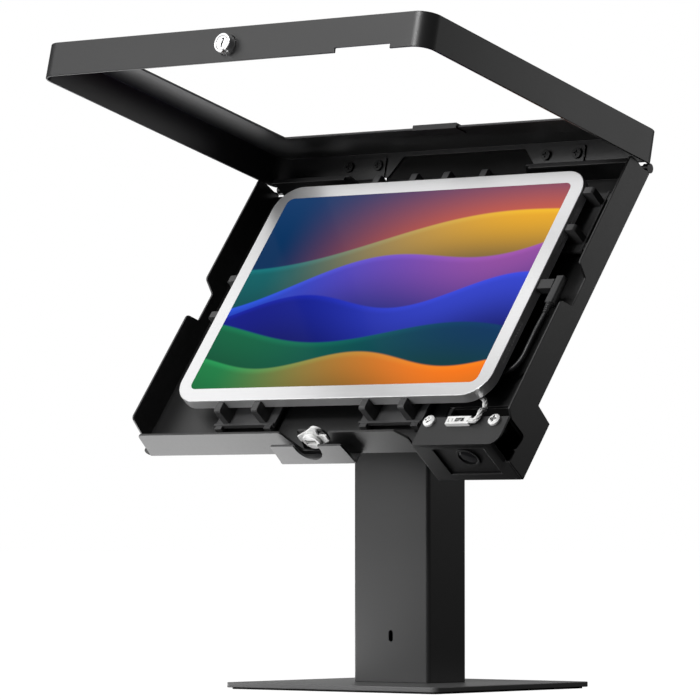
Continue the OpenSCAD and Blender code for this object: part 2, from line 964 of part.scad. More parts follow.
// scanner module
module module_housing() {
    color([0.12, 0.12, 0.12])
        at_head()
            difference() {
                union() {
                    block([module_x, module_u, -module_drop],
                        [tray_half - sheet, module_back, -module_drop + module_wall]);
                    block([module_x, module_u, -module_drop],
                        [tray_half - sheet, module_u + module_wall, module_top - module_wall]);
                    slab_x(module_x, module_wall, [
                        [module_u, -module_drop],
                        [module_u, module_top - module_wall],
                        [shelf_u, module_top - module_wall],
                        [shelf_u, 0],
                        [module_back, 0],
                        [module_back, -module_drop]
                    ]);
                    block([module_x, module_back - module_wall, -module_drop],
                        [tray_half - sheet, module_back, 0]);
                    block([module_x, shelf_u - module_wall, -module_drop],
                        [tray_half - sheet, shelf_u, module_top - module_wall]);
                    // bosses for the cover screws
                    for (x = cover_screw_x)
                        translate([x, cover_screw_u, module_top - 10])
                            cylinder(r = 3, h = 8.5);
                }
                lid_corner(corner_r);
                block([panel_left, module_u - eps, panel_foot],
                    [panel_right, module_u + module_wall + eps, panel_head]);
                for (x = cover_screw_x)
                    translate([x, cover_screw_u, module_top - 8])
                        cylinder(r = 1.55, h = 8);
            }
}

module module_cover() {
    color([0.3, 0.3, 0.3])
        at_head()
            difference() {
                block([module_x, module_u, module_top - module_wall], [tray_half, shelf_u, module_top]);
                lid_corner(corner_r);
                for (x = cover_screw_x)
                    translate([x, cover_screw_u, module_top - 2])
                        cylinder(r = 1.7, h = 3);
            }
}

module module_panel() {
    color([0.42, 0.42, 0.43])
        at_head()
            difference() {
                block([panel_left - panel_edge, module_u + module_wall, panel_foot - panel_edge],
                    [panel_right + panel_edge, module_u + 2 * module_wall, panel_head + 1.5]);
                along_u(lens_x, module_u + 1, lens_h)
                    cylinder(r = lens_r - 1, h = 3);
            }
}

module module_ring() {
    color([0.1, 0.1, 0.1])
        at_head()
            along_u(lens_x, module_u + 0.4, lens_h)
                difference() {
                    cylinder(r = lens_r, h = 1.1);
                    translate([0, 0, -eps])
                        cylinder(r = lens_r - 1.6, h = 3);
                }
}

module module_lens() {
    color([0.05, 0.05, 0.08])
        at_head()
            along_u(lens_x, module_u + 0.9, lens_h)
                cylinder(r = lens_r - 1.65, h = 3);
}

module module_screws() {
    color([0.9, 0.9, 0.88])
        at_head()
            for (x = cover_screw_x)
                translate([x, cover_screw_u, module_top]) {
                    difference() {
                        union() {
                            cylinder(r = 4, h = 1.4);
                            translate([0, 0, 1.4])
                                cylinder(r1 = 4, r2 = 2.6, h = 0.8);
                        }
                        for (a = [0, 90])
                            rotate([0, 0, a])
                                block([-2.2, -0.5, 1.3], [2.2, 0.5, 3]);
                    }
                    translate([0, 0, -7])
                        cylinder(r = 1.5, h = 7.1);
                }
}

module module_connector() {
    color([0.92, 0.92, 0.9])
        at_head()
            difference() {
                union() {
                    block([wire_x - 19, bottom_u + 4.4, module_top],
                        [wire_x - 1.6, bottom_u + 10.2, module_top + 2.8]);
                    block([wire_x - 20.5, bottom_u + 5.4, module_top],
                        [wire_x - 19, bottom_u + 9.2, module_top + 1.4]);
                }
                for (i = [0 : 4])
                    block([wire_x - 17.5 + 2.6 * i, bottom_u + 6, module_top + 1.8],
                        [wire_x - 16.1 + 2.6 * i, bottom_u + 8.6, module_top + 3.5]);
                translate([wire_x - 3.2, bottom_u + 7.2, wire_h])
                    rotate([0, 90, 0])
                        cylinder(r = bundle_r + 0.1, h = 4);
            }
}

module module_wires() {
    color([0.9, 0.9, 0.88])
        tube(smooth_path(wire_route, 3), bundle_r, 8);
}

// lock catch on the tray
module catch_bracket() {
    color([0.2, 0.2, 0.2])
        at_head()
            difference() {
                union() {
                    block([-15, bottom_u + 3.1, sheet], [15, bottom_u + 12, sheet + 1.5]);
                    slab_u(bottom_u + 3.1, 1.5, outline([
                        [-15, sheet, 0],
                        [-10, lock_h + 6.4, 2],
                        [10, lock_h + 6.4, 2],
                        [15, sheet, 0]
                    ]));
                }
                along_u(0, bottom_u + 2, lock_h)
                    cylinder(r = socket_r + 0.02, h = 4);
            }
}

module catch_star() {
    // length and angle of each arm, then the angle of the root beside it
    arms = [[11.5, 0, 30], [9.9, 60, 120], [11.5, 180, 210], [8, 240, 300]];
    color([0.85, 0.85, 0.86])
        at_head()
            difference() {
                translate([0, 0, lock_h])
                    slab_u(bottom_u + 1.7, 1.4, outline([
                        for (i = [0 : 3])
                            each [
                                [arms[i].x * cos(arms[i].y - 12), arms[i].x * sin(arms[i].y - 12), 0.8],
                                [arms[i].x * cos(arms[i].y + 12), arms[i].x * sin(arms[i].y + 12), 0.8],
                                [6.8 * cos(arms[i].z), 6.8 * sin(arms[i].z), 1]
                            ]
                    ]));
                along_u(0, bottom_u, lock_h)
                    cylinder(r = socket_r + 0.02, h = 5);
            }
}

module catch_socket() {
    color([0.88, 0.88, 0.89])
        at_head()
            difference() {
                union() {
                    along_u(0, catch_face, lock_h)
                        cylinder(r = catch_r, h = catch_t);
                    along_u(0, catch_face + 1, lock_h)
                        cylinder(r = socket_r, h = 8.2);
                }
                along_u(0, catch_face + catch_t, lock_h)
                    cylinder(r = cavity_r, h = 5.6);
                // slot for the lock's T-bar
                block([-bar_long / 2 - 0.6, catch_face - eps, lock_h - bar_thick / 2 - 0.5],
                    [bar_long / 2 + 0.6, catch_face + catch_t + eps, lock_h + bar_thick / 2 + 0.5]);
            }
}

// hinge
module hinge_rod() {
    color([0.55, 0.55, 0.57])
        at_head()
            translate([0, hinge_u, hinge_h])
                rotate([0, 90, 0]) {
                    translate([0, 0, -tray_half + 0.5])
                        cylinder(r = pin_r, h = 2 * tray_half - 1);
                    for (z = [-tray_half + 0.5, tray_half - 4.5])
                        translate([0, 0, z])
                            cylinder(r = 3.1, h = 4);
                }
}

module hinge_leaf(x0, x1) {
    in_u = lid_back_u - sheet;
    mid_x = (x0 + x1) / 2;
    color([0.14, 0.14, 0.14])
        at_lid()
            difference() {
                union() {
                    translate([mid_x, 0, 0])
                        slab_u(in_u - 1.2, 1.2, outline([
                            [-(x1 - x0) / 2, hinge_h + 2, 0],
                            [-(x1 - x0) / 2, lid_in_h - 3, 2],
                            [(x1 - x0) / 2, lid_in_h - 3, 2],
                            [(x1 - x0) / 2, hinge_h + 2, 0]
                        ]));
                    translate([x0, hinge_u, hinge_h])
                        rotate([0, 90, 0])
                            cylinder(r = knuckle_r, h = x1 - x0);
                }
                translate([x0 - 1, hinge_u, hinge_h])
                    rotate([0, 90, 0])
                        cylinder(r = pin_r + running_gap, h = x1 - x0 + 2);
                for (x = [-leaf_screw_x, leaf_screw_x])
                    along_u(mid_x + x, in_u - 2, leaf_screw_h)
                        cylinder(r = 2.1, h = 3);
            }
}

module hinge_leaf_left() {
    hinge_leaf(-leaf_out, -leaf_in);
}

module hinge_leaf_right() {
    hinge_leaf(leaf_in, leaf_out);
}

module leaf_screws() {
    in_u = lid_back_u - sheet;
    color([0.6, 0.6, 0.62])
        at_lid()
            for (s = [-1, 1], x = [-leaf_screw_x, leaf_screw_x])
                along_u(s * leaf_x + x, in_u - 1.2, leaf_screw_h) {
                    cylinder(r = 2, h = 1.2 + sheet);
                    translate([0, 0, -1.5])
                        difference() {
                            cylinder(r = 3.4, h = 1.5);
                            for (a = [0, 90])
                                rotate([0, 0, a])
                                    block([-2, -0.4, -1], [2, 0.4, 0.8]);
                        }
                }
}

// lid, drawn closed and swung open about the hinge rod
module lid_shell() {
    color([0.22, 0.22, 0.22])
        at_lid()
            difference() {
                translate([0, lid_mid_u, lid_rim_h])
                    linear_extrude(lid_depth)
                        round_rect(2 * lid_half, lid_len, lid_r);
                translate([0, lid_mid_u, lid_rim_h - 1])
                    linear_extrude(lid_in_h - lid_rim_h + 1)
                        round_rect(2 * (lid_half - sheet), lid_len - 2 * sheet, lid_r - sheet);
                block([-lid_half + side_strip, window_foot_u, lid_in_h - 1],
                    [lid_half - side_strip, window_top_u, lid_top_h + 1]);
                // room for the hinge rod and its knuckles
                block([-tray_half - 0.1, lid_back_u - sheet - 6, lid_rim_h - 1],
                    [tray_half + 0.1, lid_back_u + 1, rim_lift]);
                // opening in the rear wall between the leaves
                slab_u(lid_back_u - sheet - 0.2, sheet + 1, outline([
                    [-leaf_in + 2, rim_lift - 1, 0],
                    [-leaf_in + 13, lid_in_h - 3.4, 3],
                    [leaf_in - 13, lid_in_h - 3.4, 3],
                    [leaf_in - 2, rim_lift - 1, 0]
                ]));
                // notch in the front rim beside the scanner
                block([module_x - 0.9, lid_front_u - 1, lid_rim_h - 1],
                    [module_x + 40.6, lid_front_in + 0.5, lid_rim_h + 3]);
                along_u(0, lid_front_u - 1, lock_h)
                    cylinder(r = plunger_r + round_gap, h = sheet + 2);
                for (s = [-1, 1], x = [-leaf_screw_x, leaf_screw_x])
                    along_u(s * leaf_x + x, lid_back_u - sheet - 0.5, leaf_screw_h)
                        cylinder(r = 2.05, h = sheet + 1);
            }
}

// closes the opening in the lid's rear wall
module lid_back_strip() {
    color([0.16, 0.16, 0.16])
        at_lid()
            block([-leaf_in + 0.3, lid_back_u, back_strip_foot],
                [leaf_in - 0.3, lid_back_u + back_strip_t, lid_in_h - 0.6]);
}

// sliding cover that clips over the window's top edge
module camera_cover() {
    color([0.16, 0.16, 0.16])
        at_lid()
            translate([shutter_x, 0, 0])
                difference() {
                    block([-shutter_w / 2, window_top_u - 1.8, lid_in_h - 0.95],
                        [shutter_w / 2, window_top_u + 9.5, lid_top_h + 1.1]);
                    block([-shutter_w / 2 - 1, window_top_u - 0.15, lid_in_h - touch_gap],
                        [shutter_w / 2 + 1, window_top_u + 12, lid_top_h + touch_gap]);
                    // grip grooves
                    for (x = [-3, 0, 3])
                        block([x - 0.5, window_top_u + 1, lid_top_h + 0.7],
                            [x + 0.5, window_top_u + 8, lid_top_h + 2]);
                }
}

// push lock
module lock_barrel() {
    color([0.7, 0.7, 0.71])
        at_lid()
            difference() {
                union() {
                    along_u(0, lid_front_in, lock_h)
                        cylinder(r = plunger_r + 1.4, h = 5.4);
                    along_u(0, lid_front_in, lock_h)
                        rotate([0, 0, 30])
                            cylinder(r = plunger_r + 3, h = 2.4, $fn = 6);
                }
                along_u(0, lid_front_in - 1, lock_h)
                    cylinder(r = plunger_r + running_gap, h = 8);
            }
}

module lock_plunger() {
    inner = catch_face - push_travel - 0.5;
    color([0.82, 0.82, 0.83])
        at_lid()
            difference() {
                along_u(0, lid_front_u - plunger_out, lock_h)
                    cylinder(r = plunger_r, h = inner - lid_front_u + plunger_out);
                along_u(0, lid_front_u - plunger_out - 1, lock_h)
                    cylinder(r = core_r + running_gap, h = 30);
                // index notch
                block([1.6, lid_front_u - plunger_out - 1, lock_h - plunger_r - 1],
                    [4, lid_front_u - plunger_out + 3, lock_h - plunger_r + 1.4]);
            }
}

module lock_core() {
    inner = catch_face - push_travel - 0.5;
    face = lid_front_u - plunger_out;
    color([0.74, 0.74, 0.75])
        at_lid()
            difference() {
                union() {
                    along_u(0, face + 0.2, lock_h)
                        cylinder(r = core_r, h = inner - face - 0.2);
                    along_u(0, inner - 0.1, lock_h)
                        cylinder(r = 1.3, h = bar_tip - inner);
                    block([-bar_long / 2, bar_tip - bar_deep, lock_h - bar_thick / 2],
                        [bar_long / 2, bar_tip, lock_h + bar_thick / 2]);
                }
                // stepped keyway
                block([-0.7, face - 1, lock_h - 3], [0.5, face + 4, lock_h + 0.4]);
                block([-0.2, face - 1, lock_h - 0.6], [1, face + 4, lock_h + 3]);
            }
}

base_pad();
base_plate();
base_screws();
column_foot();
column_tube();
power_inlet();
head_plate();
head_bolts();
tray_shell();
corner_bumper();
cable_grommet();
clamp_rails();
clamp_screws();
clamp_bottom_left();
clamp_bottom_right();
clamp_top_left();
clamp_top_right();
clamp_left();
clamp_right();
fingers_bottom_left();
fingers_bottom_right();
fingers_top_left();
fingers_top_right();
fingers_left();
fingers_right();
tablet_body();
tablet_screen();
charging_plug();
charging_lead();
module_housing();
module_cover();
module_panel();
module_ring();
module_lens();
module_screws();
module_connector();
module_wires();
catch_bracket();
catch_star();
catch_socket();
hinge_rod();
hinge_leaf_left();
hinge_leaf_right();
leaf_screws();
lid_shell();
lid_back_strip();
camera_cover();
lock_barrel();
lock_plunger();
lock_core();
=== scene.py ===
"""Looks of a tablet security kiosk stand: finishes, softened edges, leads, lit screen and stage.

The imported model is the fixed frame. Places are given in millimetres in the tray's own frame, x across,
u up the slope from the tablet's centre and h out from the tray's back face, and become metres in head().
"""

import json
import math

import bmesh
import bpy
from bpy.props import FloatProperty, FloatVectorProperty, IntProperty, PointerProperty
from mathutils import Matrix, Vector


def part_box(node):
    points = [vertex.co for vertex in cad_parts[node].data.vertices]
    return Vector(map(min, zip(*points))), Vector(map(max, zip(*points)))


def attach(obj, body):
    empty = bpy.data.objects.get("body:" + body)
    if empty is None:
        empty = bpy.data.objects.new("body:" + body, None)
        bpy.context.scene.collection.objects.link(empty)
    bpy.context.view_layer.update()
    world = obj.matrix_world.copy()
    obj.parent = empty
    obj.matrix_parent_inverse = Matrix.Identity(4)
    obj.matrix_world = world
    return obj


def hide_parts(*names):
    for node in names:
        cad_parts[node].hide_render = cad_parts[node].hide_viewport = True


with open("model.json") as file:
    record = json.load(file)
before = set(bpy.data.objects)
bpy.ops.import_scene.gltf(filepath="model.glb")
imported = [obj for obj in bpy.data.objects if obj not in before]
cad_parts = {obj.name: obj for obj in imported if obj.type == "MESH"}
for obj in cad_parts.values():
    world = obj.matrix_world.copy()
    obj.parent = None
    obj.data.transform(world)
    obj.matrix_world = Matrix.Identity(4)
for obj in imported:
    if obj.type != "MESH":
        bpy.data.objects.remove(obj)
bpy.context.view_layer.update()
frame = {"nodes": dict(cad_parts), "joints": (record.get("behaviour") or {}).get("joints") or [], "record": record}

bl_info = {
    "name": "Tablet kiosk stand",
    "version": (1, 0, 0),
    "blender": (4, 5, 0),
    "location": "View3D > Sidebar > Kiosk",
    "description": "Dresses the packed kiosk stand with its finishes, leads, screen and stage",
    "category": "Object",
}

MM = 0.001
JOINTS = {joint["name"]: joint for joint in frame["joints"]}
CLAMPS = [node for node in frame["nodes"] if node.startswith(("clamp_", "fingers_"))
          and node not in ("clamp_rails", "clamp_screws")]
NODE_BODY = {node: body for body, nodes in frame["record"]["behaviour"]["bodies"].items() for node in nodes}

# Tray frame, from the tablet's lift and the middle of the screen
SCREEN_MID_H = 20.4
SCREEN_HALF_U = 79.2
OUT = Vector(JOINTS["tablet_lift"]["axis"]).normalized()
ACROSS = Vector((1, 0, 0))
UP_SLOPE = OUT.cross(ACROSS)
SCREEN_MID = (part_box("tablet_screen")[0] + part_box("tablet_screen")[1]) / 2
SLOPE = math.atan2(UP_SLOPE.z, UP_SLOPE.y)
SCREEN_HALF = (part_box("tablet_screen")[1].x, SCREEN_HALF_U * MM)

# Tablet's rim: x of its right edge, what rounding may add to it, how far outside the screen it starts
TABLET_EDGE = 123.8
RIM_SLACK = 0.1
RIM_BAND = 5.0

# Speaker holes in the right edge: height, where the two rows start, depth, and the pale pegs inside them, a
# painted highlight for the holes' lit rims
HOLE_H = 17.2
HOLE_ROWS_U = (31.0, -61.0)
HOLE_DEPTH = 2.4
HOLE_SIDES = 14
HIGHLIGHT_INSET = 0.35
HIGHLIGHT_DEPTH = 0.4

# Routes of the leads, as the part's source has them: tray frame first, then down the column
LEAD_HEAD = ((138, -15, 17.2), (137.5, -22, 16.8), (135, -33, 15.2), (133, -44, 13.2), (130, -54, 10.7),
             (124, -61, 9.5), (114, -62, 9), (96, -54, 9), (70, -34, 9), (42, -8, 9), (16, 18, 9),
             (5, 26, 7), (3, 27, 2), (3, 26, -4))
LEAD_COLUMN = ((6, 6.1, 224.6), (8, 4.1, 174.6), (8, 0.1, 114.6), (8, 1.1, 60), (7, 3.1, 38), (6, 7.1, 30))
WIRE_HEAD = ((122, -108.7, 20.25), (126.6, -108.5, 20.25), (128.2, -105.5, 20.25), (127.2, -100.7, 19.45),
             (122.8, -93.9, 12.8), (119, -88.9, 10.4), (113, -81.9, 9), (86, -68, 9), (60, -50, 9),
             (30, -20, 9), (8, 8, 9), (0, 14, 7), (-3, 19, 2), (-3, 18, -4))
WIRE_COLUMN = ((-6, -1.9, 218.6), (-8, 0.1, 174.6), (-8, 0.1, 114.6), (-8, 1.1, 60), (-7, 3.1, 38),
               (-6, 7.1, 30))
ROUTE_STEPS = 6
LEAD_SIDES = 20
WIRE_SIDES = 10

# Ribbed collar where the charging lead leaves its plug: ends, ribs, radius at the plug and loss along it
COLLAR_START = (138, -16.4, 17.12)
COLLAR_END = (137.4, -23.5, 16.75)
COLLAR_RIBS = 5
COLLAR_RADIUS = 2.5
COLLAR_TAPER = 0.7
COLLAR_SLACK = 0.05
COLLAR_SIDES = 28
# One rib and its groove: share of the collar's length, and how deep it is cut there
COLLAR_RIB = ((0.10, 0.0), (0.13, 0.3), (0.17, 0.3), (0.20, 0.05))

# Scanner wires: turn and spread of the outer ones round the middle one, and how unevenly they lie
WIRE_TWIST = 0.035
WIRE_SPREAD = 1.14
WIRE_LOOSE = 0.03
LOOSE_PER_POINT = 0.9
LOOSE_PER_WIRE = 2.3

# Scanner's lens: how far inside its ring, how domed, how far behind the ring's middle, and how deep
LENS_INSET = 1.65
LENS_RISE = 0.9
LENS_BACK = 0.5
LENS_DEPTH = 2.5
LENS_STEPS = 8
LENS_SIDES = 48

# Points closer than MERGE metres become one, and so do faces that turn less than FLAT.
# Edges that turn more than SHARP are sharp, or SHARP_TURNED on a turned piece.
MERGE = 1e-6
FLAT = math.radians(0.4)
SHARP = math.radians(28)
SHARP_TURNED = math.radians(35)

# Edge roundings of the small parts in millimetres, and of the sheet parts as a share of the sheet edge
FINE_EDGE = 0.2
CAST_EDGE = 0.25
BUMPER_EDGE = 0.5
PLUG_EDGE = 0.45
BARREL_EDGE = 0.3
PLUNGER_EDGE = 0.5
CORE_EDGE = 0.15
FOOT_SHARE = 1.4
LID_SHARE = 1.3
LEAF_SHARE = 0.7

# How dull each powder coat is
COAT_ROUGHNESS = {"powder": 0.40, "foot": 0.38, "lid": 0.40, "tray": 0.42, "keeper": 0.36}

# Colours of the small parts
FOOT_RUBBER = (0.02, 0.02, 0.02)
BUMPER_RUBBER = (0.035, 0.035, 0.035)
# Near-black of the lid's back strip: painted shade, so the strip reads as a dark opening
PAINTED_OPENING_SHADE = (0.005, 0.005, 0.005)
DARK_ROD = (0.06, 0.06, 0.06)
BLACK_SCREW = (0.05, 0.05, 0.05)
# Pale grey of the pegs in the speaker holes: painted highlight for the light the holes' rims catch
PAINTED_HOLE_HIGHLIGHT = (0.7, 0.7, 0.7)
LEAD_JACKET = (0.022, 0.022, 0.023)
GLASS_BLACK = (0.004, 0.004, 0.005)
LENS_SMEAR = (0.013, 0.013, 0.015)

# Lengths of the lines in metal along its x, y and z, in metres
POLISHED = (0.002, 0.002, 0.002)
DRAWN_X = (0.01, 0.0006, 0.0006)
DRAWN_Y = (0.0006, 0.004, 0.0006)
DRAWN_Z = (0.0006, 0.0006, 0.004)
BRUSHED = (0.02, 0.0007, 0.0007)

# Floor: half its width in metres, its grey to other rays and to the camera, its own glow and the glow's share
FLOOR_HALF = 20
FLOOR_DARK = (0.04, 0.04, 0.04)
FLOOR_PALE = (0.3, 0.3, 0.3)
FLOOR_GLOW = 1.25
GLOW_SHARE = 0.8

# Lamps: name, place, what it faces, width and height, watts, lights matt surfaces, shows in shiny ones
STAND_MIDDLE = (0, 0, 0.24)
LAMPS = (
    ("Front card", (-1.5, -1.83, 0.62), STAND_MIDDLE, (1.3, 1.9), 14, True, True),
    ("Front top", (-0.2, -1.7, 1.5), STAND_MIDDLE, (0.5, 0.5), 20, True, True),
    ("Right card", (0.55, 0.66, 0.46), (0.05, 0, 0.27), (0.45, 0.45), 0.5, True, True),
    ("Top softbox", (-1.3, -0.3, 1.8), STAND_MIDDLE, (1.5, 1.5), 6.8, True, True),
    ("Back card", (-1.0, 1.22, 0.22), (0, 0, 0.05), (1.0, 0.3), 0.45, False, True),
    ("Floor bounce", (-0.335, 0.0, 0.012), (-0.295, -0.02, 1), (0.40, 0.5), 2.1, True, True),
    ("Low fill", (-0.1, -0.7, 0.03), (0, -0.07, 0.16), (0.3, 0.3), 3.6, True, False),
)


def head(x, u, h):
    """A point of the tray's frame, in millimetres, as a place in metres."""
    return SCREEN_MID + (ACROSS * x + UP_SLOPE * u + OUT * (h - SCREEN_MID_H)) * MM


# Sizes and colours


COLOUR = {"subtype": "COLOR", "size": 3, "min": 0, "max": 1}


class FinishSettings(bpy.types.PropertyGroup):
    """Colours of the stand's finishes."""

    powder: FloatVectorProperty(name="Powder coat", description="Satin black of the column",
                                default=(0.012, 0.012, 0.0125), **COLOUR)
    foot: FloatVectorProperty(name="Foot coat", description="Satin black of the foot plate, a little lighter",
                              default=(0.11, 0.11, 0.111), **COLOUR)
    lid: FloatVectorProperty(name="Lid coat", description="Satin black of the lid",
                             default=(0.008, 0.008, 0.0084), **COLOUR)
    tray: FloatVectorProperty(name="Tray coat", description="Satin black of the tray",
                              default=(0.006, 0.006, 0.0063), **COLOUR)
    keeper: FloatVectorProperty(name="Keeper coat", description="Grey of the head plate and its keeper tab",
                                default=(0.03, 0.03, 0.031), **COLOUR)
    clamp: FloatVectorProperty(name="Clamp plastic", description="Dark grey plastic of the clamps",
                               default=(0.05, 0.05, 0.051), **COLOUR)
    plastic: FloatVectorProperty(name="Moulded plastic", description="Black plastic of the scanner and inlet",
                                 default=(0.010, 0.010, 0.0105), **COLOUR)
    silver: FloatVectorProperty(name="Tablet shell", description="Blasted aluminium of the tablet",
                                default=(0.88, 0.88, 0.885), **COLOUR)
    steel: FloatVectorProperty(name="Plated steel", description="Screws, bolts and the lock's barrel",
                               default=(0.62, 0.62, 0.63), **COLOUR)
    chrome: FloatVectorProperty(name="Chrome", description="Plunger and key core of the lock",
                                default=(0.92, 0.92, 0.925), **COLOUR)
    white: FloatVectorProperty(name="White", description="Scanner screws, connector, wires and pale catch",
                               default=(0.94, 0.94, 0.93), **COLOUR)


class DetailSettings(bpy.types.PropertyGroup):
    """Sizes of the fine details."""

    fold: FloatProperty(name="Sheet edge", description="Rounding of folded sheet edges",
                        unit="LENGTH", default=0.35 * MM, min=0.05 * MM, max=1 * MM)
    moulded: FloatProperty(name="Moulded edge", description="Rounding of moulded plastic edges",
                           unit="LENGTH", default=0.3 * MM, min=0.05 * MM, max=1 * MM)
    tablet_edge: FloatProperty(name="Tablet edge", description="Rounding of the tablet's rims",
                               unit="LENGTH", default=0.5 * MM, min=0.1 * MM, max=1.5 * MM)
    hole_count: IntProperty(name="Speaker holes", description="Holes in each row on the tablet's edge",
                            default=14, min=1, max=40)
    hole_pitch: FloatProperty(name="Hole pitch", description="Distance between speaker holes",
                              unit="LENGTH", default=2.3 * MM, min=1 * MM, max=5 * MM)
    hole_radius: FloatProperty(name="Hole radius", description="Radius of a speaker hole",
                               unit="LENGTH", default=0.5 * MM, min=0.2 * MM, max=1 * MM)
    lead_radius: FloatProperty(name="Lead radius", description="Radius of the charging lead",
                               unit="LENGTH", default=1.5 * MM, min=1 * MM, max=2 * MM)
    strand_radius: FloatProperty(name="Wire radius", description="Radius of one scanner wire",
                                 unit="LENGTH", default=0.52 * MM, min=0.3 * MM, max=0.8 * MM)
    strand_count: IntProperty(name="Wires", description="Wires around the middle one in the scanner's bundle",
                              default=5, min=3, max=6)


class StageSettings(bpy.types.PropertyGroup):
    """Camera, and the room's light."""

    camera_place: FloatVectorProperty(name="Camera place", description="Where the camera stands",
                                      subtype="XYZ", size=3, default=(1.8744, -2.34221, 0.09491))
    camera_yaw: FloatProperty(name="Camera yaw", description="Turn of the camera to the front right",
                              subtype="ANGLE", default=math.radians(39.3563))
    camera_pitch: FloatProperty(name="Camera pitch", description="Upward tilt of the camera",
                                subtype="ANGLE", default=math.radians(2.2172))
    lens: FloatProperty(name="Lens", description="Focal length on a 36 mm sensor",
                        default=247.2, min=50, max=400)
    ambient: FloatProperty(name="Ambient", description="Light of the room on matt surfaces",
                           default=0.08, min=0, max=2)
    mirrored: FloatProperty(name="Mirrored room", description="Level of the room in shiny surfaces",
                            default=0.14, min=0, max=2)


# Shader and geometry trees


def socket_of(sockets, name):
    """One of a node's sockets, by its number, identifier or shown name."""
    if isinstance(name, int):
        return sockets[name]
    return next(s for s in sockets if name in (s.identifier, s.name))


class Field:
    """A node socket: arithmetic on it adds Math nodes, and node() adds any other node."""

    def __init__(self, tree, socket=None):
        self.tree = tree
        self.socket = socket

    def node(self, kind, settings=None, values=None, out=0):
        """Adds a node of that type, sets its settings, then its sockets' values or links."""
        made = self.tree.nodes.new(kind)
        for name, value in (settings or {}).items():
            setattr(made, name, value)
        for name, value in (values or {}).items():
            self.feed(socket_of(made.inputs, name), value)
        return Field(self.tree, socket_of(made.outputs, out)) if made.outputs else None

    def feed(self, socket, value):
        """Links or sets one input socket."""
        if isinstance(value, Field):
            self.tree.links.new(value.socket, socket)
        else:
            socket.default_value = value

    def other(self, name):
        """Another output of this socket's node."""
        return Field(self.tree, socket_of(self.socket.node.outputs, name))

    def math(self, operation, *operands):
        """A Math node on these operands."""
        return self.node("ShaderNodeMath", {"operation": operation}, dict(enumerate(operands)))

    def __add__(self, value):
        return self.math("ADD", self, value)

    __radd__ = __add__

    def __sub__(self, value):
        return self.math("SUBTRACT", self, value)

    def __rsub__(self, value):
        return self.math("SUBTRACT", value, self)

    def __mul__(self, value):
        return self.math("MULTIPLY", self, value)

    def sine(self):
        return self.math("SINE", self)

    def between(self, low, high):
        """0 below low, 1 above high, smooth between."""
        return self.node("ShaderNodeMapRange", {"interpolation_type": "SMOOTHSTEP"},
                         {"Value": self, "From Min": low, "From Max": high})

    def mix(self, a, b):
        """Colour a where this is 0, colour b where it is 1."""
        a, b = (c if isinstance(c, Field) else (*c, 1) for c in (a, b))
        return self.node("ShaderNodeMix", {"data_type": "RGBA"},
                         {"Factor_Float": self, "A_Color": a, "B_Color": b}, "Result_Color")


def shade(colour, factor):
    """The colour made lighter or darker by a factor."""
    return tuple(min(1.0, c * factor) for c in colour)


def new_material(name):
    """An empty material and a starting field in its tree."""
    material = bpy.data.materials.new(name)
    material.use_nodes = True
    material.node_tree.nodes.clear()
    return material, Field(material.node_tree)


def principled(tree, values):
    """Ends a material in one Principled shader with these socket values."""
    shader = tree.node("ShaderNodeBsdfPrincipled", None, values)
    tree.node("ShaderNodeOutputMaterial", None, {"Surface": shader})


def object_place(tree, scale=(1, 1, 1), turn=(0, 0, 0), centre=(0, 0, 0)):
    """Object coordinates, moved to a centre, turned and stretched."""
    place = tree.node("ShaderNodeTexCoord", None, None, "Object")
    return tree.node("ShaderNodeMapping", {"vector_type": "TEXTURE"},
                     {"Vector": place, "Location": centre, "Rotation": turn, "Scale": scale})


def noise(tree, place, scale, detail, roughness=0.5):
    """Soft noise from 0 to 1."""
    return tree.node("ShaderNodeTexNoise", None,
                     {"Vector": place, "Scale": scale, "Detail": detail, "Roughness": roughness}, "Fac")


def bump(tree, height, strength, distance):
    """A normal that follows a height, with the relief's depth in metres."""
    return tree.node("ShaderNodeBump", None, {"Height": height, "Strength": strength, "Distance": distance})


def powder_coat(name, colour, roughness):
    """Baked powder paint: orange-peel grain, faint clouding and a satin gloss."""
    material, tree = new_material(name)
    place = object_place(tree)
    peel = noise(tree, place, scale=900.0, detail=2.0, roughness=0.55)
    grit = noise(tree, place, scale=3200.0, detail=1.0)
    cloud = noise(tree, place, scale=14.0, detail=3.0)
    clouded = (cloud * 0.7 + grit * 0.3).mix(shade(colour, 0.82), shade(colour, 1.2))
    principled(tree, {
        "Base Color": clouded,
        "Roughness": roughness + (cloud - 0.5) * 0.08 + (peel - 0.5) * 0.10,
        "Specular IOR Level": 0.8,
        "Normal": bump(tree, peel * 0.8 + grit * 0.2, strength=0.22, distance=0.00006),
    })
    return material


def moulded_plastic(name, colour, roughness, grain=2400.0):
    """Spark-textured moulded plastic."""
    material, tree = new_material(name)
    place = object_place(tree)
    spark = noise(tree, place, scale=grain, detail=2.0, roughness=0.6)
    cloud = noise(tree, place, scale=30.0, detail=2.0)
    principled(tree, {
        "Base Color": cloud.mix(shade(colour, 0.85), shade(colour, 1.2)),
        "Roughness": roughness + (spark - 0.5) * 0.18,
        "Normal": bump(tree, spark, strength=0.25, distance=0.00005),
    })
    return material


def soft_rubber(name, colour):
    """Dull rubber with a fine dusty grain."""
    material, tree = new_material(name)
    place = object_place(tree)
    dust = noise(tree, place, scale=700.0, detail=4.0, roughness=0.7)
    principled(tree, {
        "Base Color": dust.mix(shade(colour, 0.75), shade(colour, 1.5)),
        "Roughness": 0.72 + dust * 0.2,
        "Specular IOR Level": 0.3,
        "Normal": bump(tree, dust, strength=0.3, distance=0.00008),
    })
    return material


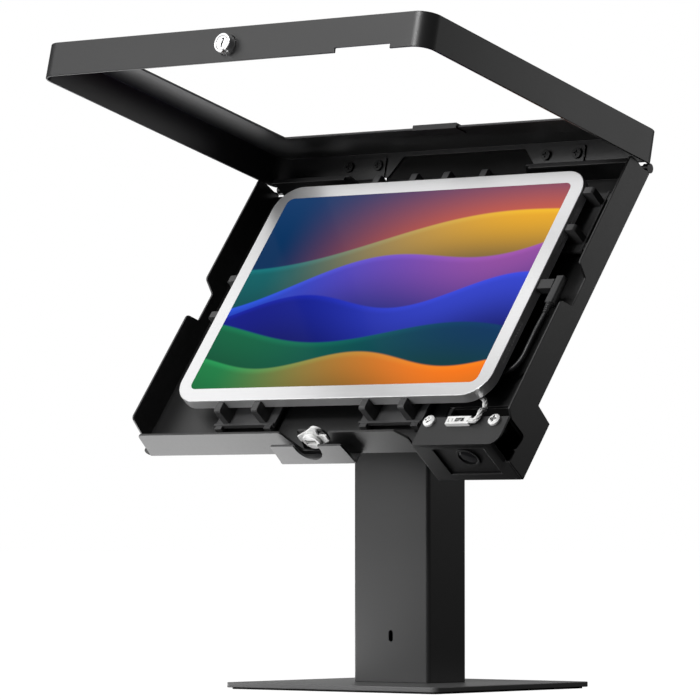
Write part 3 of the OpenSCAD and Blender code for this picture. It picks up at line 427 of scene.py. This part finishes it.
def bright_metal(name, colour, roughness, stretch, depth, metallic=1.0):
    """Metal with fine drawn or polishing lines along one axis."""
    material, tree = new_material(name)
    lines = noise(tree, object_place(tree, stretch), scale=1.0, detail=3.0, roughness=0.6)
    cloud = noise(tree, object_place(tree), scale=60.0, detail=2.0)
    principled(tree, {
        "Base Color": cloud.mix(shade(colour, 0.9), shade(colour, 1.04)),
        "Metallic": metallic,
        "Roughness": roughness + (lines - 0.5) * roughness * 0.7 + (cloud - 0.5) * roughness * 0.4,
        "Normal": bump(tree, lines, strength=depth, distance=0.00002),
    })
    return material


def blasted_aluminium(name, colour):
    """Bead-blasted, clear-anodised shell with a faint brushed direction across the tablet."""
    material, tree = new_material(name)
    beads = noise(tree, object_place(tree), scale=5200.0, detail=1.0)
    brushed = noise(tree, object_place(tree, BRUSHED, (SLOPE, 0, 0)), scale=1.0, detail=3.0, roughness=0.65)
    streaked = (brushed * 0.7 + beads * 0.3).mix(shade(colour, 0.93), shade(colour, 1.06))
    principled(tree, {
        "Base Color": streaked,
        "Metallic": 0.75,
        "Roughness": 0.36 + (brushed - 0.5) * 0.14 + (beads - 0.5) * 0.06,
        "Normal": bump(tree, beads * 0.5 + brushed * 0.5, strength=0.08, distance=0.00003),
    })
    return material


def glossy_plastic(name, colour):
    """Smooth white plastic with a soft shine."""
    material, tree = new_material(name)
    place = object_place(tree)
    cloud = noise(tree, place, scale=120.0, detail=2.0)
    fine = noise(tree, place, scale=2600.0, detail=1.0)
    principled(tree, {
        "Base Color": cloud.mix(shade(colour, 0.94), shade(colour, 1.03)),
        "Roughness": 0.32 + (fine - 0.5) * 0.12,
        "Normal": bump(tree, fine, strength=0.06, distance=0.00004),
    })
    return material


def dark_lens(name):
    """Coated lens glass, nearly black, with faint smears."""
    material, tree = new_material(name)
    place = object_place(tree)
    smear = noise(tree, place, scale=160.0, detail=3.0)
    principled(tree, {
        "Base Color": smear.mix(GLASS_BLACK, LENS_SMEAR),
        "Roughness": 0.05 + smear * 0.06,
        "Coat Weight": 1.0,
        "Coat Roughness": 0.03,
    })
    return material


# Colours of the lit screen's wallpaper: sky at left and right and above, then ridges from far to near.
# Its places run from -1 to 1 across and up the screen.
SKY = ((0.0, 0.028, 0.10), (0.95, 0.15, 0.005))
SKY_TOP = (0.01, 0.05, 0.16)
SKY_FADE = (0.2, 1.4)
LEFT_TO_RIGHT = (-0.9, 0.9)
RIDGES = (
    # height at the middle, rise to the right, wave height, waves, start, left colour, right colour
    (0.52, 0.20, 0.10, 2.6, 0.4, (0.003, 0.12, 0.13), (0.85, 0.42, 0.025)),
    (0.22, 0.26, 0.13, 3.4, 2.1, (0.015, 0.06, 0.56), (0.30, 0.08, 0.36)),
    (-0.12, 0.10, 0.12, 4.2, 3.9, (0.003, 0.008, 0.24), (0.035, 0.06, 0.62)),
    (-0.46, -0.06, 0.11, 3.1, 5.6, (0.004, 0.13, 0.055), (0.001, 0.035, 0.11)),
    (-0.74, -0.02, 0.08, 4.8, 1.2, (0.012, 0.21, 0.06), (0.97, 0.19, 0.006)),
)
# A ridge's crest: how much it glows, how light it is at left and right, its width and its soft edge
CREST_GLOW = 0.4
CREST_LIGHT = (2.2, 1.5)
CREST_WIDTH = 0.07
CREST_EDGE = 0.012
# How far below its crest a ridge grows dark, and how dark
RIDGE_FADE = (-0.05, 0.75)
RIDGE_DARK = 0.35


def lit_screen(name):
    """Lit glass showing rolling ridges in dusk colours."""
    material, tree = new_material(name)
    place = object_place(tree, (SCREEN_HALF[0], SCREEN_HALF[1], 1.0), (SLOPE, 0, 0), SCREEN_MID)
    split = tree.node("ShaderNodeSeparateXYZ", None, {"Vector": place}, "X")
    across, up = split, split.other("Y")
    right = across.between(*LEFT_TO_RIGHT)
    picture = right.mix(*SKY)
    picture = up.between(*SKY_FADE).mix(picture, SKY_TOP)
    for middle, rise, wave, waves, start, left_colour, right_colour in RIDGES:
        crest = middle + across * rise + (across * waves + start).sine() * wave
        depth = crest - up
        body = right.mix(left_colour, right_colour)
        lit = depth.between(*RIDGE_FADE).mix(body, shade(left_colour, RIDGE_DARK))
        glow = (1 - depth.between(0.0, CREST_WIDTH)) * CREST_GLOW
        light = right.mix(shade(left_colour, CREST_LIGHT[0]), shade(right_colour, CREST_LIGHT[1]))
        lit = glow.mix(lit, light)
        picture = depth.between(-CREST_EDGE, CREST_EDGE).mix(picture, lit)
    dust = noise(tree, object_place(tree), scale=90.0, detail=3.0)
    principled(tree, {
        "Base Color": (*GLASS_BLACK, 1),
        "Roughness": 0.10 + dust * 0.06,
        "Specular IOR Level": 0.015,
        "Emission Color": picture,
        "Emission Strength": 1.0,
    })
    return material


# Meshes


def link(name, mesh):
    """A new object at the origin that shows this mesh."""
    piece = bpy.data.objects.new(name, mesh)
    bpy.context.scene.collection.objects.link(piece)
    return piece


def plain_mesh(piece):
    """The plain mesh that a piece's modifiers make."""
    bpy.context.view_layer.update()
    graph = bpy.context.evaluated_depsgraph_get()
    return bpy.data.meshes.new_from_object(piece.evaluated_get(graph))


def settle(piece):
    """Turns what a piece's modifiers make into its own plain mesh."""
    mesh = plain_mesh(piece)
    piece.modifiers.clear()
    piece.data = mesh
    return piece


def merged_copy(node, name):
    """A copy of a CAD node's mesh with its loose triangles joined into whole faces."""
    shape = bmesh.new()
    shape.from_mesh(frame["nodes"][node].data)
    bmesh.ops.remove_doubles(shape, verts=shape.verts, dist=MERGE)
    bmesh.ops.dissolve_limit(shape, angle_limit=FLAT, verts=shape.verts, edges=shape.edges)
    mesh = bpy.data.meshes.new(name)
    shape.to_mesh(mesh)
    shape.free()
    if "custom_normal" in mesh.attributes:
        mesh.attributes.remove(mesh.attributes["custom_normal"])
    mesh.shade_smooth()
    return link(name, mesh)


def softened(node, width, segments, chosen=None, cutters=()):
    """A copy of a CAD node with its sharp edges rounded, which stands for the node."""
    piece = merged_copy(node, node + "_soft")
    for cutter in cutters:
        bore = piece.modifiers.new("Bore", "BOOLEAN")
        bore.operation = "DIFFERENCE"
        bore.object = cutter
        bore.solver = "EXACT"
    if cutters:
        settle(piece)
    shape = bmesh.new()
    shape.from_mesh(piece.data)
    weight = shape.edges.layers.float.new("bevel_weight_edge")
    for edge in shape.edges:
        sharp = len(edge.link_faces) == 2 and edge.calc_face_angle() > SHARP
        rounded = sharp and (chosen is None or chosen(edge))
        edge[weight] = 1.0 if rounded else 0.0
        edge.smooth = rounded or not sharp
    shape.to_mesh(piece.data)
    shape.free()
    bevel = piece.modifiers.new("Soft edges", "BEVEL")
    bevel.width = width
    bevel.segments = segments
    bevel.limit_method = "WEIGHT"
    bevel.use_clamp_overlap = False
    bevel.harden_normals = True
    bevel.miter_outer = "MITER_ARC"
    plain = piece.modifiers.new("Plain faces", "TRIANGULATE")
    plain.min_vertices = 5
    plain.keep_custom_normals = True
    return settle(piece)


def dress(piece, material, body, slot, *nodes):
    """Gives a finished piece its material and body, and hides the nodes that it stands for; its record slot is not
    used.
    """
    piece.data.materials.clear()
    piece.data.materials.append(material)
    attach(piece, body)
    if nodes:
        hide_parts(*nodes)


def paint(material, *nodes):
    """Gives CAD nodes that stay as they are a finish."""
    for node in nodes:
        frame["nodes"][node].data.materials.clear()
        frame["nodes"][node].data.materials.append(material)


def soften_and_dress(node, width, material, slot, segments=2):
    """Rounds a node's edges and gives the copy its finish."""
    dress(softened(node, width, segments), material, NODE_BODY[node], slot, node)


def route(tray_points, column_points):
    """A lead's smooth path through each of its points in the tray and in the column."""
    points = [head(*p) for p in tray_points] + [Vector(p) * MM for p in column_points]
    path = []
    last = len(points) - 1
    for i in range(last):
        a, b, c, d = (points[max(i - 1, 0)], points[i], points[i + 1], points[min(i + 2, last)])
        for step in range(ROUTE_STEPS):
            t = step / ROUTE_STEPS
            path.append(0.5 * (2 * b + (c - a) * t + (2 * a - 5 * b + 4 * c - d) * t ** 2
                               + (3 * b - a - 3 * c + d) * t ** 3))
    return path + [points[last]]


def line_object(name, paths):
    """A curve object with one plain line for each path."""
    curve = bpy.data.curves.new(name, "CURVE")
    curve.dimensions = "3D"
    for path in paths:
        spline = curve.splines.new("POLY")
        spline.points.add(len(path) - 1)
        for point, place in zip(spline.points, path):
            point.co = (*place, 1)
    return link(name, curve)


def geometry_tree(name, sockets):
    """A geometry tree with these inputs: name to socket type."""
    group = bpy.data.node_groups.new(name, "GeometryNodeTree")
    group.is_modifier = True
    group.interface.new_socket("Geometry", in_out="INPUT", socket_type="NodeSocketGeometry")
    for socket_name, kind in sockets.items():
        group.interface.new_socket(socket_name, in_out="INPUT", socket_type="NodeSocket" + kind)
    group.interface.new_socket("Geometry", in_out="OUTPUT", socket_type="NodeSocketGeometry")
    tree = Field(group)
    return group, tree, tree.node("NodeGroupInput")


def end_tree(tree, geometry, material):
    """Ends a geometry tree in realized instances with one material."""
    real = tree.node("GeometryNodeRealizeInstances", None, {"Geometry": geometry})
    done = tree.node("GeometryNodeSetMaterial", None, {"Geometry": real, "Material": material})
    tree.node("NodeGroupOutput", None, {"Geometry": done})


def swept_tree():
    """Sweeps a round section along every line of a curve."""
    group, tree, given = geometry_tree("Swept lead", {
        "Radius": "Float", "Sides": "Int", "Material": "Material"})
    section = tree.node("GeometryNodeCurvePrimitiveCircle", None,
                        {"Resolution": given.other("Sides"), "Radius": given.other("Radius")})
    skin = tree.node("GeometryNodeCurveToMesh", None,
                     {"Curve": given.other("Geometry"), "Profile Curve": section, "Fill Caps": True})
    smooth = tree.node("GeometryNodeSetShadeSmooth", None, {"Geometry": skin, "Shade Smooth": True})
    end_tree(tree, smooth, given.other("Material"))
    return group


def row_tree():
    """Sets equal pegs in a straight row."""
    group, tree, given = geometry_tree("Row of pegs", {
        "Count": "Int", "Start": "Vector", "Step": "Vector", "Turn": "Vector",
        "Radius": "Float", "Depth": "Float", "Sides": "Int", "Material": "Material"})
    points = tree.node("GeometryNodeMeshLine", {"mode": "OFFSET"},
                       {"Count": given.other("Count"), "Start Location": given.other("Start"),
                        "Offset": given.other("Step")})
    peg = tree.node("GeometryNodeMeshCylinder", None,
                    {"Vertices": given.other("Sides"), "Radius": given.other("Radius"),
                     "Depth": given.other("Depth")})
    turn = tree.node("FunctionNodeEulerToRotation", None, {"Euler": given.other("Turn")})
    row = tree.node("GeometryNodeInstanceOnPoints", None,
                    {"Points": points, "Instance": peg, "Rotation": turn})
    end_tree(tree, row, given.other("Material"))
    return group


def add_tree(piece, group, values):
    """Puts a geometry tree on a piece, with these inputs."""
    modifier = piece.modifiers.new(group.name, "NODES")
    modifier.node_group = group
    inputs = {s.name: s.identifier for s in group.interface.items_tree if s.in_out == "INPUT"}
    for name, value in values.items():
        modifier[inputs[name]] = value


def swept(name, paths, radius, sides, material):
    """Round tubes along paths, as one mesh."""
    line = line_object(name + "_line", paths)
    group = bpy.data.node_groups.get("Swept lead") or swept_tree()
    add_tree(line, group, {"Radius": radius, "Sides": sides, "Material": material})
    mesh = plain_mesh(line)
    bpy.data.objects.remove(line)
    return link(name, mesh)


def turned(name, profile, place, axis, sides):
    """A solid of revolution: (distance along the axis, radius) pairs about an axis through a place."""
    shape = bmesh.new()
    axis = axis.normalized()
    first = axis.orthogonal().normalized()
    second = axis.cross(first)
    rings = []
    for along, radius in profile:
        middle = place + axis * along
        if radius <= 0:
            rings.append([shape.verts.new(middle)])
        else:
            rings.append([shape.verts.new(middle + (first * math.cos(a) + second * math.sin(a)) * radius)
                          for a in (2 * math.pi * k / sides for k in range(sides))])
    for lower, upper in zip(rings, rings[1:]):
        for k in range(sides):
            near = [lower[k % len(lower)], lower[(k + 1) % len(lower)]]
            far = [upper[(k + 1) % len(upper)], upper[k % len(upper)]]
            corners = list(dict.fromkeys(near + far))
            if len(corners) > 2:
                shape.faces.new(corners)
    for ring in (rings[0], rings[-1]):
        if len(ring) > 2:
            shape.faces.new(ring)
    bmesh.ops.recalc_face_normals(shape, faces=shape.faces)
    mesh = bpy.data.meshes.new(name)
    shape.to_mesh(mesh)
    shape.free()
    mesh.shade_smooth()
    mesh.set_sharp_from_angle(angle=SHARP_TURNED)
    return link(name, mesh)


def tint(context, which):
    """One of the colours that can be set."""
    return tuple(getattr(context.scene.kiosk_finish, which))


def finish_of(name, maker, **values):
    """A named finish, made the first time it is asked for."""
    return bpy.data.materials.get(name) or maker(name, **values)


def powder(context, which):
    """The powder coat of the column, the foot, the lid, the tray or the keeper."""
    return finish_of("Coat " + which, powder_coat, colour=tint(context, which),
                     roughness=COAT_ROUGHNESS[which])


def plated_steel(context):
    """Plated steel of the screws, the bolts and the lock's barrel."""
    return finish_of("Plated steel", bright_metal, colour=tint(context, "steel"), roughness=0.30,
                     stretch=DRAWN_Z, depth=0.10)


def chrome(context):
    """Mirror-bright plating of the key core."""
    return finish_of("Chrome plate", bright_metal, colour=tint(context, "chrome"), roughness=0.09,
                     stretch=POLISHED, depth=0.04)


def bright_zinc(context):
    """Duller plating of the lock's plunger."""
    return finish_of("Bright zinc", bright_metal, colour=tint(context, "chrome"), roughness=0.20,
                     stretch=POLISHED, depth=0.04, metallic=0.8)


def cast_zinc(context):
    """Pale, mostly matt casting of the catch."""
    return finish_of("Cast zinc", bright_metal, colour=tint(context, "white"), roughness=0.30,
                     stretch=POLISHED, depth=0.04, metallic=0.1)


def black_plastic(context):
    """Black plastic of the scanner, the inlet and the camera cover."""
    return finish_of("Black plastic", moulded_plastic, colour=tint(context, "plastic"), roughness=0.46)


def white_plastic(context):
    """White plastic of the scanner's screws and connector."""
    return finish_of("White plastic", glossy_plastic, colour=tint(context, "white"))


# Pieces


class KIOSK_OT_stand(bpy.types.Operator):
    """Finish the foot plate, column, head plate and their fasteners"""

    bl_idname = "kiosk.stand"
    bl_label = "Stand"

    def execute(self, context):
        detail = context.scene.kiosk_detail
        fold = detail.fold
        coat = powder(context, "powder")
        rubber = finish_of("Foot rubber", soft_rubber, colour=FOOT_RUBBER)
        soften_and_dress("base_plate", FOOT_SHARE * fold, powder(context, "foot"), "powder_black", segments=3)
        soften_and_dress("column_tube", fold, coat, "powder_black")
        soften_and_dress("head_plate", fold, powder(context, "keeper"), "keeper_grey")
        soften_and_dress("power_inlet", detail.moulded, black_plastic(context), "module_black")
        paint(coat, "column_foot")
        paint(rubber, "base_pad", "cable_grommet")
        paint(plated_steel(context), "base_screws", "head_bolts")
        return {"FINISHED"}


class KIOSK_OT_tray(bpy.types.Operator):
    """Finish the tray, its bumper, rails and hinge rod"""

    bl_idname = "kiosk.tray"
    bl_label = "Tray"

    def execute(self, context):
        fold = context.scene.kiosk_detail.fold
        coat = powder(context, "tray")
        rubber = finish_of("Bumper rubber", soft_rubber, colour=BUMPER_RUBBER)
        soften_and_dress("tray_shell", fold, coat, "tray_black")
        soften_and_dress("corner_bumper", BUMPER_EDGE * MM, rubber, "soft_black", segments=3)
        soften_and_dress("clamp_rails", fold, coat, "tray_black")
        paint(plated_steel(context), "clamp_screws")
        rod = finish_of("Dark rod", bright_metal, colour=DARK_ROD, roughness=0.36,
                        stretch=DRAWN_X, depth=0.12)
        paint(rod, "hinge_rod")
        return {"FINISHED"}


class KIOSK_OT_clamps(bpy.types.Operator):
    """Round and finish the six clamps that grip the tablet"""

    bl_idname = "kiosk.clamps"
    bl_label = "Clamps"

    def execute(self, context):
        plastic = finish_of("Clamp plastic", moulded_plastic, colour=tint(context, "clamp"), roughness=0.40)
        for node in CLAMPS:
            soften_and_dress(node, context.scene.kiosk_detail.moulded, plastic, "clamp_black")
        return {"FINISHED"}


class KIOSK_OT_tablet(bpy.types.Operator):
    """Make the tablet's shell with its speaker holes, and its lit screen"""

    bl_idname = "kiosk.tablet"
    bl_label = "Tablet"

    def execute(self, context):
        detail = context.scene.kiosk_detail
        silver = finish_of("Blasted aluminium", blasted_aluminium, colour=tint(context, "silver"))
        # Pale pegs just inside the speaker holes: painted highlight for the light the holes' rims catch
        highlight_grey = finish_of("Speaker mesh", moulded_plastic, colour=PAINTED_HOLE_HIGHLIGHT, roughness=0.5)
        row = row_tree()
        # cutters bore the speaker holes; meshes holds the pale pegs of painted highlight set inside them
        cutters, meshes = [], []
        for number, start_u in enumerate(HOLE_ROWS_U):
            start = head(TABLET_EDGE, start_u, HOLE_H)
            inside = head(TABLET_EDGE - HIGHLIGHT_INSET, start_u, HOLE_H)
            cutters.append(self.peg_row(f"speaker_bore_{number}", detail, row, start, HOLE_DEPTH, highlight_grey))
            meshes.append(self.peg_row(f"speaker_mesh_{number}", detail, row, inside, HIGHLIGHT_DEPTH, highlight_grey))
        shell = softened("tablet_body", detail.tablet_edge, segments=3, chosen=self.on_rim, cutters=cutters)
        dress(shell, silver, "tablet", "tablet_silver", "tablet_body")
        for pegs in meshes:
            dress(pegs, highlight_grey, "tablet", "tablet_silver")
        for pegs in cutters:
            bpy.data.objects.remove(pegs)
        if max(v.co.x for v in shell.data.vertices) > (TABLET_EDGE + RIM_SLACK) * MM:
            raise RuntimeError("the tablet's shell has grown past its rim")
        paint(finish_of("Lit screen", lit_screen), "tablet_screen")
        return {"FINISHED"}

    def on_rim(self, edge):
        """Whether an edge of the shell lies well outside the screen."""
        middle = (edge.verts[0].co + edge.verts[1].co) / 2 - SCREEN_MID
        x, u = middle.dot(ACROSS), middle.dot(UP_SLOPE)
        return abs(x) > SCREEN_HALF[0] + RIM_BAND * MM or abs(u) > SCREEN_HALF[1] + RIM_BAND * MM

    def peg_row(self, name, detail, row, start, depth, material):
        """A row of pegs that fill the speaker holes, lying along x."""
        pegs = link(name, bpy.data.meshes.new("row"))
        add_tree(pegs, row, {
            "Count": detail.hole_count, "Start": start, "Step": UP_SLOPE * detail.hole_pitch,
            "Turn": (0.0, math.pi / 2, 0.0), "Radius": detail.hole_radius, "Depth": depth * MM,
            "Sides": HOLE_SIDES, "Material": material})
        return settle(pegs)


class KIOSK_OT_leads(bpy.types.Operator):
    """Lay the charging lead with its plug and collar, and the scanner's bundle of white wires"""

    bl_idname = "kiosk.leads"
    bl_label = "Leads"

    def execute(self, context):
        detail = context.scene.kiosk_detail
        jacket = finish_of("Lead jacket", moulded_plastic, colour=LEAD_JACKET, roughness=0.38, grain=1400.0)
        white = finish_of("Wire white", glossy_plastic, colour=tint(context, "white"))
        path = route(LEAD_HEAD, LEAD_COLUMN)
        lead = swept("charging_lead_round", [path], detail.lead_radius, LEAD_SIDES, jacket)
        dress(lead, jacket, "stand", "lead_black", "charging_lead")
        soften_and_dress("charging_plug", PLUG_EDGE * MM, jacket, "lead_black", segments=3)
        start, end = head(*COLLAR_START), head(*COLLAR_END)
        profile = self.collar((end - start).length, detail.lead_radius)
        collar = turned("lead_collar", profile, start, end - start, COLLAR_SIDES)
        dress(collar, jacket, "stand", "lead_black")
        wires = swept("scanner_wires", self.strands(detail), detail.strand_radius, WIRE_SIDES, white)
        dress(wires, white, "stand", "wire_white", "module_wires")
        return {"FINISHED"}

    def collar(self, length, lead_radius):
        """Outline of the collar: ribs that grow smaller towards the lead."""
        outline = [(0.0, COLLAR_RADIUS * MM)]
        for rib in range(COLLAR_RIBS):
            t = rib / COLLAR_RIBS
            size = (COLLAR_RADIUS - COLLAR_TAPER * t) * MM
            outline += [(length * (t + share), size - cut * MM) for share, cut in COLLAR_RIB]
        return outline + [(length, lead_radius + COLLAR_SLACK * MM)]

    def strands(self, detail):
        """Paths of the wires: one in the middle and the rest laid around it in a slow twist."""
        middle = route(WIRE_HEAD, WIRE_COLUMN)
        spread = WIRE_SPREAD * MM
        paths = [middle]
        side = OUT.copy()
        frames = []
        for i, place in enumerate(middle):
            along = (middle[min(i + 1, len(middle) - 1)] - middle[max(i - 1, 0)]).normalized()
            side = (side - along * side.dot(along)).normalized()
            frames.append((place, side, along.cross(side)))
        for number in range(detail.strand_count):
            path = []
            for i, (place, first, second) in enumerate(frames):
                turn = 2 * math.pi * (number / detail.strand_count + WIRE_TWIST * i)
                loose = 1 + WIRE_LOOSE * math.sin(LOOSE_PER_POINT * i + LOOSE_PER_WIRE * number)
                path.append(place + (first * math.cos(turn) + second * math.sin(turn)) * spread * loose)
            paths.append(path)
        return paths


class KIOSK_OT_scanner(bpy.types.Operator):
    """Finish the scanner module with its lens, screws and connector"""

    bl_idname = "kiosk.scanner"
    bl_label = "Scanner module"

    def execute(self, context):
        detail = context.scene.kiosk_detail
        black = black_plastic(context)
        coat = powder(context, "tray")
        soften_and_dress("module_housing", detail.moulded, coat, "module_black")
        soften_and_dress("module_cover", detail.moulded, powder(context, "lid"), "module_grey")
        soften_and_dress("module_panel", detail.moulded, black, "module_black")
        soften_and_dress("module_ring", CAST_EDGE * MM, black, "module_black", segments=3)
        soften_and_dress("module_screws", FINE_EDGE * MM, white_plastic(context), "white_plastic", segments=3)
        soften_and_dress("module_connector", FINE_EDGE * MM, white_plastic(context), "white_plastic")
        lens = finish_of("Lens glass", dark_lens)
        low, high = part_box("module_ring")
        middle = (low + high) / 2
        radius = (high.x - low.x) / 2 - LENS_INSET * MM
        face = middle + UP_SLOPE * LENS_BACK * MM
        turns = [math.pi / 2 * k / LENS_STEPS for k in range(LENS_STEPS + 1)]
        dome = [(-LENS_RISE * MM * math.cos(turn), radius * math.sin(turn)) for turn in turns]
        dome.append((LENS_DEPTH * MM, radius))
        glass = turned("lens_dome", dome, face, UP_SLOPE, LENS_SIDES)
        dress(glass, lens, "stand", "lens_dark", "module_lens")
        return {"FINISHED"}


class KIOSK_OT_catch(bpy.types.Operator):
    """Finish the lock's catch on the tray"""

    bl_idname = "kiosk.catch"
    bl_label = "Lock catch"

    def execute(self, context):
        fold = context.scene.kiosk_detail.fold
        soften_and_dress("catch_bracket", fold, powder(context, "tray"), "tray_black")
        soften_and_dress("catch_star", CAST_EDGE * MM, cast_zinc(context), "chrome", segments=3)
        soften_and_dress("catch_socket", CAST_EDGE * MM, cast_zinc(context), "chrome", segments=3)
        return {"FINISHED"}


class KIOSK_OT_lid(bpy.types.Operator):
    """Finish the lid, its hinge leaves and the sliding camera cover"""

    bl_idname = "kiosk.lid"
    bl_label = "Lid"

    def execute(self, context):
        fold = context.scene.kiosk_detail.fold
        soften_and_dress("lid_shell", LID_SHARE * fold, powder(context, "lid"), "lid_black", segments=3)
        for side in ("left", "right"):
            soften_and_dress("hinge_leaf_" + side, LEAF_SHARE * fold, powder(context, "tray"), "tray_black")
        soften_and_dress("camera_cover", FINE_EDGE * MM, black_plastic(context), "clamp_black")
        # The back strip gets a near-black dull finish: painted shade, so it reads as a dark opening
        dark = finish_of("Dark sheet", soft_rubber, colour=PAINTED_OPENING_SHADE)
        soften_and_dress("lid_back_strip", FINE_EDGE * MM, dark, "tray_black")
        screw = finish_of("Black screw", bright_metal, colour=BLACK_SCREW, roughness=0.4,
                          stretch=DRAWN_Y, depth=0.1)
        paint(screw, "leaf_screws")
        return {"FINISHED"}


class KIOSK_OT_lock(bpy.types.Operator):
    """Finish the push lock in the lid's front"""

    bl_idname = "kiosk.lock"
    bl_label = "Push lock"

    def execute(self, context):
        soften_and_dress("lock_barrel", BARREL_EDGE * MM, plated_steel(context), "zinc_steel")
        soften_and_dress("lock_plunger", PLUNGER_EDGE * MM, bright_zinc(context), "chrome", segments=3)
        soften_and_dress("lock_core", CORE_EDGE * MM, chrome(context), "chrome")
        return {"FINISHED"}


class KIOSK_OT_stage(bpy.types.Operator):
    """Set the camera, the lamps, the pale floor and the room"""

    bl_idname = "kiosk.stage"
    bl_label = "Stage"

    def execute(self, context):
        stage = context.scene.kiosk_stage
        context.scene.view_settings.view_transform = "Standard"
        self.camera(context, stage)
        self.floor()
        self.room(context, stage)
        for lamp in LAMPS:
            self.lamp(*lamp)
        return {"FINISHED"}

    def camera(self, context, stage):
        """A long-lens camera to the front right, a little above the counter and tilted up."""
        data = bpy.data.cameras.new("Camera")
        data.lens = stage.lens
        data.sensor_width = 36
        data.clip_end = 50
        camera = bpy.data.objects.new("Camera", data)
        context.scene.collection.objects.link(camera)
        camera.location = stage.camera_place
        camera.rotation_euler = (math.pi / 2 + stage.camera_pitch, 0, stage.camera_yaw)
        context.scene.camera = camera

    def lamp(self, name, place, target, size, power, lights_matt, shines):
        """A lit card that the camera itself doesn't see."""
        data = bpy.data.lights.new(name, "AREA")
        data.shape = "RECTANGLE"
        data.size, data.size_y = size
        data.energy = power
        lamp = bpy.data.objects.new(name, data)
        bpy.context.scene.collection.objects.link(lamp)
        lamp.location = place
        lamp.rotation_euler = (Vector(target) - Vector(place)).to_track_quat("-Z", "Y").to_euler()
        lamp.visible_camera = False
        lamp.visible_diffuse = lights_matt
        lamp.visible_glossy = shines

    def seen_white(self, tree):
        """1 for the rays that show the background: camera and glass rays."""
        path = tree.node("ShaderNodeLightPath", None, None, "Is Camera Ray")
        return path.math("MAXIMUM", path, path.other("Is Transmission Ray"))

    def floor(self):
        """A wide floor, white to the camera and dark to other rays."""
        shape = bmesh.new()
        bmesh.ops.create_grid(shape, x_segments=8, y_segments=8, size=FLOOR_HALF)
        mesh = bpy.data.meshes.new("floor")
        shape.to_mesh(mesh)
        shape.free()
        material, tree = new_material("Pale floor")
        seen = self.seen_white(tree)
        matt = tree.node("ShaderNodeBsdfDiffuse", None, {"Color": seen.mix(FLOOR_DARK, FLOOR_PALE)})
        white = tree.node("ShaderNodeEmission", None, {"Color": (1, 1, 1, 1), "Strength": FLOOR_GLOW})
        mixed = tree.node("ShaderNodeMixShader", None, {0: seen * GLOW_SHARE, 1: matt, 2: white})
        tree.node("ShaderNodeOutputMaterial", None, {"Surface": mixed})
        mesh.materials.append(material)
        link("floor", mesh)

    def room(self, context, stage):
        """A room that is white to the camera, with its own levels for matt and shiny surfaces."""
        world = bpy.data.worlds.new("Room")
        context.scene.world = world
        world.use_nodes = True
        world.node_tree.nodes.clear()
        tree = Field(world.node_tree)
        seen = self.seen_white(tree)
        glossy = tree.node("ShaderNodeLightPath", None, None, "Is Glossy Ray")
        unseen = stage.ambient + glossy * (stage.mirrored - stage.ambient)
        level = unseen + seen * (1 - unseen)
        light = tree.node("ShaderNodeBackground", None, {"Color": (1, 1, 1, 1), "Strength": level})
        tree.node("ShaderNodeOutputWorld", None, {"Surface": light})


class KIOSK_PT_panel(bpy.types.Panel):
    """Lists the pieces of the stand in the sidebar."""

    bl_label = "Kiosk stand"
    bl_idname = "KIOSK_PT_panel"
    bl_space_type = "VIEW_3D"
    bl_region_type = "UI"
    bl_category = "Kiosk"

    def draw(self, context):
        for operator in OPERATORS:
            self.layout.operator(operator.bl_idname)


SETTINGS = {"kiosk_finish": FinishSettings, "kiosk_detail": DetailSettings, "kiosk_stage": StageSettings}
OPERATORS = (KIOSK_OT_stage, KIOSK_OT_leads, KIOSK_OT_stand, KIOSK_OT_tray, KIOSK_OT_clamps, KIOSK_OT_tablet,
             KIOSK_OT_scanner, KIOSK_OT_catch, KIOSK_OT_lid, KIOSK_OT_lock)


def register():
    for item in (*SETTINGS.values(), *OPERATORS, KIOSK_PT_panel):
        bpy.utils.register_class(item)
    for name, settings in SETTINGS.items():
        setattr(bpy.types.Scene, name, PointerProperty(type=settings))


def unregister():
    for name in SETTINGS:
        delattr(bpy.types.Scene, name)
    for item in reversed((*SETTINGS.values(), *OPERATORS, KIOSK_PT_panel)):
        bpy.utils.unregister_class(item)


def main():
    register()
    for operator in OPERATORS:
        group, name = operator.bl_idname.split(".")
        getattr(getattr(bpy.ops, group), name)()


if __name__ == "__main__":
    main()
